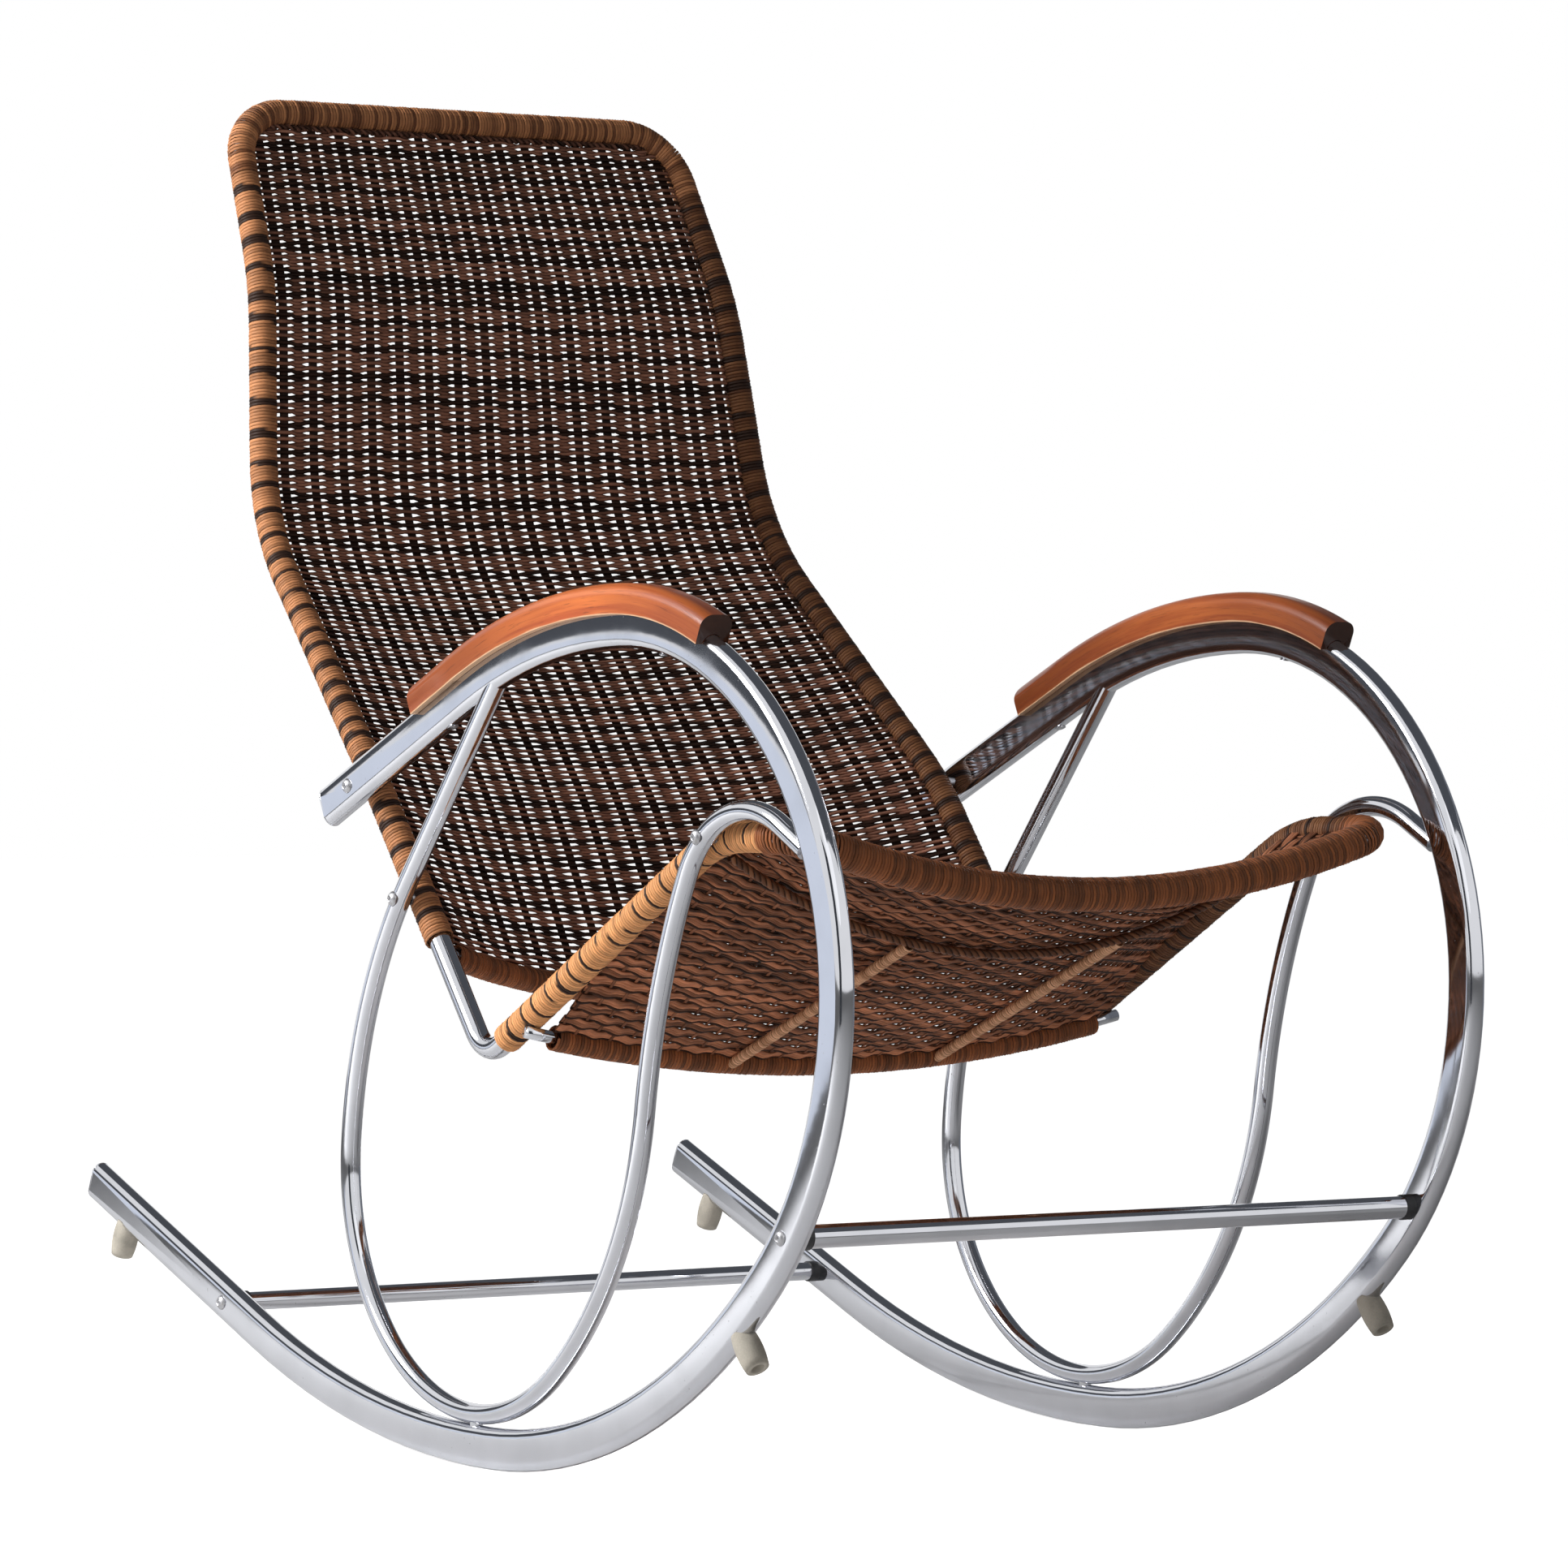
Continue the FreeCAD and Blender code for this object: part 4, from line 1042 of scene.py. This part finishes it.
class ROCKER_OT_back(WeaveOperator, bpy.types.Operator):
    """Weave the back: rows of strands over and under the stakes"""

    bl_idname = "rocker.back"
    bl_label = "Woven Back"

    # Places of rows and cord in millimetres, the rows' swing past the stakes, and how far they vary.
    panel_name = "back"
    points_per_stake = 10
    sections = 3
    first_row = 7.0
    tuck = 1.0
    wave_end = 0.82
    wave_fall = 0.36
    swing_spread = 0.16
    row_spread = 0.10
    least_slope = 0.2
    waves = ((0.9, 3.1, 61.0), (0.5, 7.7, -37.0))
    cord_gap = 2.2
    cord_lift = 1.6

    def execute(self, context):
        weave = context.scene.rocker_weave
        material = weave_finish("woven_back_rattan", tuple(weave.dark), tuple(weave.light))
        panel = BackPanel()
        self.lay_rows(weave, panel, material)
        places = np.linspace(5.0, panel.length - 4.0, 110)
        size = {"width": weave.stake_width, "thickness": weave.stake_thickness, "sides": 8}
        # The stakes are painted almost as dark as the dark strands: partly their own dark colour, partly
        # painted shade where they show between rows.
        self.lay_stakes(panel, weave.back_stakes, 51, places, tone=0.25, band=0.9, material=material, **size)
        self.lay_border(panel, material)
        return {"FINISHED"}

    def lay_rows(self, weave, panel, material):
        """Lays rows that take turns over and under the stakes."""
        pitch = weave.back_pitch / MM
        lift = (weave.stake_thickness + weave.strand_thickness) / 2 / MM
        chance = np.random.default_rng(seed=31)
        last = panel.length - RAIL_WRAP_RADIUS + self.tuck
        count = int((last - self.first_row) / pitch)
        tones, bands = row_shades(chance, count, pitch)
        groups = [Strands(seed=40 + k) for k in range(self.sections)]
        for row in range(count):
            place = self.first_row + row * pitch
            reach = panel.reach(place)
            lean = np.linspace(-reach, reach, weave.back_stakes * self.points_per_stake + 1)
            stake = (lean + 1) / 2 * weave.back_stakes
            swing = chance.normal(1.0, self.swing_spread, weave.back_stakes + 2)
            wave = over_under(stake, row, self.wave_end, self.wave_fall)
            wave = wave * np.interp(stake, np.arange(len(swing)) - 0.5, swing)
            point, along, out = panel.at(np.full_like(lean, place), lean)
            # To a level eye, a full swing moves a row up or down by half a pitch.
            slope = np.clip(along[0, 2], self.least_slope, 1.0)
            lean_back = math.sqrt(max(1.0 - slope ** 2, 0.0))
            rise = pitch / 2 * (1.0 - 2 * lift * lean_back / (pitch * slope))
            up = rise * wave + self.drift(lean, place) + chance.normal(0.0, self.row_spread)
            point = point + out * (wave * lift)[:, None] + along * up[:, None]
            groups[row * self.sections // count].lay(point, out, tones[row], bands[row])
        size = {"width": weave.strand_width, "thickness": weave.strand_thickness, "sides": 4}
        self.settle_rows(groups, material, **size)

    def lay_border(self, panel, material):
        """Lays the twisted cord just under the top bar."""
        cord = Strands(seed=52)
        place = panel.length - RAIL_WRAP_RADIUS - self.cord_gap
        reach = panel.reach(place)
        lean = np.linspace(-reach, reach, 120)
        point, _, out = panel.at(np.full_like(lean, place), lean)
        cord.twist(point + out * self.cord_lift, radius=1.3, pitch=11.0, step=1.2, tones=(0.05, 0.35))
        self.settle_part("_border_cord", cord, material, width=0.0028, thickness=0.0026, sides=6)


class ROCKER_OT_seat(WeaveOperator, bpy.types.Operator):
    """Weave the seat: groups of rows over and under the stakes"""

    bl_idname = "rocker.seat"
    bl_label = "Woven Seat"

    # Lift of rows over the stakes and bow in millimetres, and how far the rows vary.
    panel_name = "seat"
    points_per_stake = 5
    sections = 2
    tuck = 1.0
    lift = 1.05
    bow = 45.0
    row_overlap = 1.65
    row_spread = 0.15
    band_share = 0.3
    waves = ((0.8, 2.6, 53.0), (0.4, 9.0, -29.0))

    def execute(self, context):
        weave = context.scene.rocker_weave
        material = weave_finish("woven_seat_rattan", tuple(weave.dark), tuple(weave.seat))
        panel = SeatPanel()
        self.lay_rows(weave, panel, material)
        places = np.linspace(6.0, panel.length - 8.0, 60)
        size = {"width": 0.0026, "thickness": 0.0009, "sides": 6}
        self.lay_stakes(panel, weave.seat_stakes, 75, places, tone=0.6, band=0.3, material=material, **size)
        return {"FINISHED"}

    def lay_rows(self, weave, panel, material):
        """Lays rows that hang long below the stakes, pass short above them and bow in the middle."""
        pitch = weave.seat_pitch / MM
        chance = np.random.default_rng(seed=71)
        first = REAR_BAR_WRAP_RADIUS - self.tuck
        last = panel.length - FRONT_WRAP_RADIUS + self.tuck
        count = int((last - first) / pitch)
        tones, bands = row_shades(chance, count, pitch)
        groups = [Strands(seed=72 + k) for k in range(self.sections)]
        reach = panel.reach(first)
        lean = np.linspace(-reach, reach, weave.seat_stakes * self.points_per_stake + 1)
        stake = (lean + 1) / 2 * weave.seat_stakes - 0.5
        for row in range(count):
            flat = first + (row + 0.5) * pitch
            inside = 4 * (flat - first) * (last - flat) / (last - first) ** 2
            place = flat + self.bow * inside * (0.5 - lean ** 2)
            over = (1 + np.cos(math.pi * (stake + row // weave.seat_group))) / 2
            wave = 2 * over ** 3 - 1.0
            point, along, out = panel.at(place, lean)
            point = point + out * (wave * self.lift)[:, None]
            ahead = self.drift(lean, flat) * inside + chance.normal(0.0, self.row_spread)
            point = point + along * ahead[:, None]
            # Painted shadow: the first row of each group is painted fully dark, standing in for the shadow
            # at the edge of the group's bulge; other dark rows keep a share of their darkness.
            band = 1.0 if row % weave.seat_group == 0 else bands[row] * self.band_share
            groups[row * self.sections // count].lay(point, out, tones[row], band)
        width = weave.seat_pitch * self.row_overlap
        self.settle_rows(groups, material, width=width, thickness=0.0019, sides=6)


class ROCKER_OT_wraps(RockerOperator, bpy.types.Operator):
    """Wind rattan round the rails and bars"""

    bl_idname = "rocker.wraps"
    bl_label = "Rattan Wraps"

    # Corner wraps run past their corner by a share of its radius; lengths are in millimetres.
    turn_points = 14
    overlap = 1.06
    corner_share = 1.25
    lower_bar_trim = 9.0

    def execute(self, context):
        wrap = context.scene.rocker_wrap
        honey, brown, sunny = tuple(wrap.honey), tuple(wrap.brown), tuple(wrap.sunny)
        banded = wound_finish("banded_rattan", wrap, honey, toned(honey, 0.55), 0.55)
        plain = wound_finish("brown_rattan", wrap, tuple(wrap.russet), toned(brown, 0.8), 0.4)
        # Painted shade: a darker copy of the honey and brown turns for the far rails, standing in for the
        # shade on their seen side.
        shaded = wound_finish("shaded_rattan", wrap, toned(honey, 0.42), toned(brown, 0.7), 0.55)
        mottled = wound_finish("mottled_rattan", wrap, honey, brown, 0.6)
        # Painted light: a brighter copy of the turns for the near seat rail, standing in for sunlight.
        bright = wound_finish("sunny_rattan", wrap, sunny, toned(sunny, 0.6), 0.45)
        bands = (wrap.band / MM, wrap.band_width / MM)
        thin = (wrap.band / MM, wrap.pitch / MM)
        back_start = FOOT + unit(ARM - LOWER_BAR_END) * BACK_WRAP_START
        back_end = TOP - unit(TOP - NECK) * (self.corner_share * TOP_CORNER_RADIUS)
        seat_start = FOOT + unit(SEAT - FOOT) * SEAT_WRAP_START
        seat_end = FRONT + (0.0, self.corner_share * FRONT_CORNER_RADIUS, 0.0)
        back = bent([back_start, ARM, KNEE, NECK, back_end], BACK_RADII)
        seat = bent([seat_start, SEAT, seat_end], [SEAT_BEND_RADIUS])
        # The far (left) rails wear the copy with painted shade.
        self.wind(wrap, "left_back_wrap", back, RAIL_WRAP_RADIUS, shaded, bands, seed=81)
        self.wind(wrap, "left_seat_wrap", seat, RAIL_WRAP_RADIUS, shaded, thin, seed=83)
        self.wind(wrap, "right_back_wrap", mirror(back), RAIL_WRAP_RADIUS, banded, bands, seed=82)
        # The near (right) seat rail wears the copy with painted light.
        self.wind(wrap, "right_seat_wrap", mirror(seat), RAIL_WRAP_RADIUS, bright, thin, seed=84)
        top = bent([back_end, TOP, mirror(TOP), mirror(back_end)], [TOP_CORNER_RADIUS] * 2)
        self.wind(wrap, "top_wrap", top, RAIL_WRAP_RADIUS, mottled, None, seed=85)
        corners = [seat_end, FRONT, FRONT_LOW, mirror(FRONT), mirror(seat_end)]
        front = bent(corners, [FRONT_CORNER_RADIUS, FRONT_BAR_RADIUS, FRONT_CORNER_RADIUS])
        self.wind(wrap, "front_wrap", front, FRONT_WRAP_RADIUS, plain, None, seed=86)
        lower = arc(LOWER_BAR_END, LOWER_BAR_MIDDLE, mirror(LOWER_BAR_END))
        lower = trimmed(lower, self.lower_bar_trim, self.lower_bar_trim)
        self.wind(wrap, "lower_bar_wrap", lower, LOWER_BAR_WRAP_RADIUS, plain, None, seed=87)
        self.wind(wrap, "rear_bar_wrap", self.rear_bar(), REAR_BAR_WRAP_RADIUS, plain, None, seed=88)
        return {"FINISHED"}

    def rear_bar(self):
        """Points along the wound part of the rear seat bar."""
        across = np.linspace(REAR_WRAP_HALF, -REAR_WRAP_HALF, 200)
        points = np.tile(REAR_BAR_MIDDLE, (len(across), 1))
        points[:, 0] = across
        points[:, 2] += REAR_BAR_RADIUS - np.sqrt(REAR_BAR_RADIUS ** 2 - across ** 2)
        return points

    def wind(self, wrap, node, path, radius, material, bands, seed):
        """Winds one wrap, out to its radius."""
        strands = Strands(seed)
        middle = radius - wrap.thickness / MM / 2
        strands.wind(path, middle, wrap.pitch / MM, self.turn_points, bands)
        width = wrap.pitch * self.overlap
        piece = sweep(node + "_rattan", strands, material, width, wrap.thickness, sides=6)
        settle(piece, "rattan_banded_wrap" if bands else "rattan_dark_wrap", node)


class ROCKER_OT_ribs(RockerOperator, bpy.types.Operator):
    """Lay the twisted rib and the wound stringers under the seat"""

    bl_idname = "rocker.ribs"
    bl_label = "Seat Rib and Stringers"

    # Lengths in millimetres: ends inside the wraps, inset of the wound strand, ends left bare, and the gap
    # under the seat. The last is how far the tones of strands spread.
    rib_tuck = 1.0
    inset = 0.55
    trims = (8.0, 3.0)
    panel_gap = 0.6
    spread = 0.5

    def execute(self, context):
        wrap = context.scene.rocker_wrap
        rib, stringer = tuple(wrap.rib), tuple(wrap.stringer)
        self.lay_rib(wound_finish("rib_rattan", wrap, rib, tuple(wrap.rib_deep), self.spread))
        deep = tuple(wrap.stringer_deep)
        self.lay_stringers(wound_finish("stringer_rattan", wrap, stringer, deep, self.spread))
        return {"FINISHED"}

    def lay_rib(self, material):
        """Twists the cross rib along its arc, from wrap to wrap."""
        end = math.asin((SEAT[0] - RAIL_WRAP_RADIUS + self.rib_tuck) / RIB_RADIUS)
        angles = np.linspace(-end, end, 160)
        rib = np.tile(RIB_CENTRE, (len(angles), 1))
        rib[:, 0] += RIB_RADIUS * np.sin(angles)
        rib[:, 2] -= RIB_RADIUS * np.cos(angles)
        cord = Strands(seed=91)
        cord.twist(rib, radius=1.75, pitch=17.0, step=1.5, tones=(0.05, 0.6, 0.25))
        piece = sweep("seat_rib_cord", cord, material, width=0.0037, thickness=0.0034, sides=8)
        settle(piece, "rattan_dark_wrap", "seat_rib")

    def lay_stringers(self, material):
        """Winds both stringers."""
        wound = Strands(seed=92)
        line = np.stack(self.stringer_ends())
        radius = STRINGER_RADIUS - self.inset
        for points in (line, mirror(line)):
            wound.wind(trimmed(points, *self.trims), radius, pitch=2.3, per_turn=12)
        piece = sweep("seat_stringers_wound", wound, material, width=0.00245, thickness=0.0011, sides=6)
        settle(piece, "rattan_dark_wrap", "seat_stringers")

    def stringer_ends(self):
        """Where a stringer leaves the rear bar and where it meets the rib."""
        panel, ends = SeatPanel(), []
        for y in (REAR_BAR_MIDDLE[1], RIB_CENTRE[1]):
            place = panel.length * (REAR_BAR_MIDDLE[1] - y) / (REAR_BAR_MIDDLE[1] - FRONT_MIDDLE[1])
            middle = panel.raw(np.array(place), np.array(0.0))
            rail = min(FOOT[2] + (FOOT[1] - y) * SEAT_SLOPE, SEAT[2])
            sag = rail - middle[2]
            radius = (SEAT[0] ** 2 + sag ** 2) / (2 * sag)
            lean = math.asin(STRINGER_HALF_GAP / radius)
            outer = radius + SEAT_PANEL_THICKNESS / 2 + self.panel_gap + STRINGER_RADIUS
            ends.append(np.array((outer * math.sin(lean), y, middle[2] + radius - outer * math.cos(lean))))
        return ends


class ROCKER_OT_stage(RockerOperator, bpy.types.Operator):
    """Set the floor, the light and the camera"""

    bl_idname = "rocker.stage"
    bl_label = "Stage"

    def execute(self, context):
        stage = context.scene.rocker_stage
        context.scene.view_settings.view_transform = "Standard"
        self.lay_floor(stage)
        self.light_sky(stage)
        for name, (place, size) in LAMPS.items():
            self.lamp(name + "_light", place, size, getattr(stage, name))
        for name, (place, target, width, height, level) in CARDS.items():
            self.hang_card(name, place, target, width, height, level)
        self.aim_camera(context, stage)
        return {"FINISHED"}

    def rectangle(self, name, x, y):
        """A flat object round the origin, from -x to x and from -y to y."""
        mesh = bpy.data.meshes.new(name)
        mesh.from_pydata([(-x, -y, 0.0), (x, -y, 0.0), (x, y, 0.0), (-x, y, 0.0)], [], [(0, 1, 2, 3)])
        piece = bpy.data.objects.new(name, mesh)
        bpy.context.scene.collection.objects.link(piece)
        return piece

    def coat(self, piece, name):
        """Gives a piece a new material, and returns its node tree."""
        material = bpy.data.materials.new(name)
        material.use_nodes = True
        piece.data.materials.append(material)
        return material.node_tree

    def choose(self, tree, output, others, usual, seen):
        """Shows the seen shader to camera rays and other kinds of ray, and the usual one to the rest."""
        rays = tree.nodes.new("ShaderNodeLightPath")
        total = rays.outputs["Is Camera Ray"]
        for key in others:
            most = tree.nodes.new("ShaderNodeMath")
            most.operation = "MAXIMUM"
            tree.links.new(total, most.inputs[0])
            tree.links.new(rays.outputs[key], most.inputs[1])
            total = most.outputs[0]
        pick = tree.nodes.new("ShaderNodeMixShader")
        for socket, source in zip(pick.inputs, (total, usual, seen)):
            tree.links.new(source, socket)
        tree.links.new(pick.outputs["Shader"], tree.nodes[output].inputs["Surface"])

    def lay_floor(self, stage):
        """Lays the matt floor, which the camera sees brighter than the light makes it."""
        floor = self.rectangle("floor", FLOOR_HALF, FLOOR_HALF)
        tree = self.coat(floor, "pale_floor")
        shader = tree.nodes["Principled BSDF"]
        shader.inputs["Base Color"].default_value = (*stage.floor, 1.0)
        shader.inputs["Roughness"].default_value = 0.9
        shader.inputs["Specular IOR Level"].default_value = 0.0
        matt = shader.outputs["BSDF"]
        glow = tree.nodes.new("ShaderNodeEmission")
        glow.inputs["Strength"].default_value = stage.glow
        both = tree.nodes.new("ShaderNodeAddShader")
        tree.links.new(matt, both.inputs[0])
        tree.links.new(glow.outputs["Emission"], both.inputs[1])
        self.choose(tree, "Material Output", ["Is Transmission Ray"], matt, both.outputs["Shader"])

    def hang_card(self, name, place, target, width, height, level):
        """Hangs a plain card that only the polished metal sees."""
        card = self.rectangle(name, width / 2, height / 2)
        tree = self.coat(card, name)
        glow = tree.nodes.new("ShaderNodeEmission")
        glow.inputs["Color"].default_value = (*toned(CARD_TINT, level), 1.0)
        tree.links.new(glow.outputs["Emission"], tree.nodes["Material Output"].inputs["Surface"])
        turn = (Vector(target) - Vector(place)).to_track_quat("Z", "Y")
        card.matrix_world = Matrix.Translation(place) @ turn.to_matrix().to_4x4()
        card.visible_camera = False
        card.visible_diffuse = False
        card.visible_shadow = False
        card.visible_transmission = False

    def light_sky(self, stage):
        """Lights from all round, softly; the camera and polished metal see plain white."""
        world = bpy.data.worlds.new("studio")
        bpy.context.scene.world = world
        world.use_nodes = True
        tree = world.node_tree
        soft, white = tree.nodes["Background"], tree.nodes.new("ShaderNodeBackground")
        for light, strength in ((soft, stage.sky), (white, 1.0)):
            light.inputs["Color"].default_value = (1.0, 1.0, 1.0, 1.0)
            light.inputs["Strength"].default_value = strength
        rays = ["Is Glossy Ray", "Is Transmission Ray"]
        self.choose(tree, "World Output", rays, soft.outputs["Background"], white.outputs["Background"])

    def lamp(self, name, place, size, watts):
        """Hangs a round lamp that faces the chair."""
        light = bpy.data.lights.new(name, "AREA")
        light.shape = "DISK"
        light.size = size
        light.energy = watts
        lamp = bpy.data.objects.new(name, light)
        lamp.location = place
        lamp.rotation_euler = (Vector(LAMP_TARGET) - Vector(place)).to_track_quat("-Z", "Y").to_euler()
        bpy.context.scene.collection.objects.link(lamp)

    def aim_camera(self, context, stage):
        """Sets the camera where the picture is taken from."""
        lens = bpy.data.cameras.new("photo_camera")
        lens.sensor_width = SENSOR_WIDTH
        lens.lens = stage.lens
        lens.clip_end = CLIP_END
        camera = bpy.data.objects.new("photo_camera", lens)
        turn = Matrix((CAMERA_RIGHT, CAMERA_UP, CAMERA_RIGHT.cross(CAMERA_UP))).transposed().to_4x4()
        camera.matrix_world = Matrix.Translation(CAMERA_PLACE) @ turn
        context.scene.collection.objects.link(camera)
        context.scene.camera = camera


OPERATORS = (
    ROCKER_OT_chrome,
    ROCKER_OT_fasteners,
    ROCKER_OT_bumpers,
    ROCKER_OT_armrests,
    ROCKER_OT_back,
    ROCKER_OT_seat,
    ROCKER_OT_wraps,
    ROCKER_OT_ribs,
    ROCKER_OT_stage,
)


class ROCKER_PT_panel(bpy.types.Panel):
    """Sizes, colours and steps of the rocking chair"""

    bl_idname = "ROCKER_PT_panel"
    bl_label = "Rocking Chair"
    bl_space_type = "VIEW_3D"
    bl_region_type = "UI"
    bl_category = "Rocker"

    def draw(self, context):
        for key, group in SETTINGS.items():
            box = self.layout.box()
            box.label(text=group.__doc__)
            for name in group.__annotations__:
                box.prop(getattr(context.scene, key), name)
        for operator in OPERATORS:
            self.layout.operator(operator.bl_idname)


CLASSES = (*SETTINGS.values(), *OPERATORS, ROCKER_PT_panel)


def register():
    for cls in CLASSES:
        bpy.utils.register_class(cls)
    for key, group in SETTINGS.items():
        setattr(bpy.types.Scene, key, bpy.props.PointerProperty(type=group))


def unregister():
    for key in SETTINGS:
        delattr(bpy.types.Scene, key)
    for cls in reversed(CLASSES):
        bpy.utils.unregister_class(cls)


def main():
    register()
    bpy.ops.rocker.chrome()
    bpy.ops.rocker.fasteners()
    bpy.ops.rocker.bumpers()
    bpy.ops.rocker.armrests()
    bpy.ops.rocker.back()
    bpy.ops.rocker.seat()
    bpy.ops.rocker.wraps()
    bpy.ops.rocker.ribs()
    bpy.ops.rocker.stage()


if __name__ == "__main__":
    main()
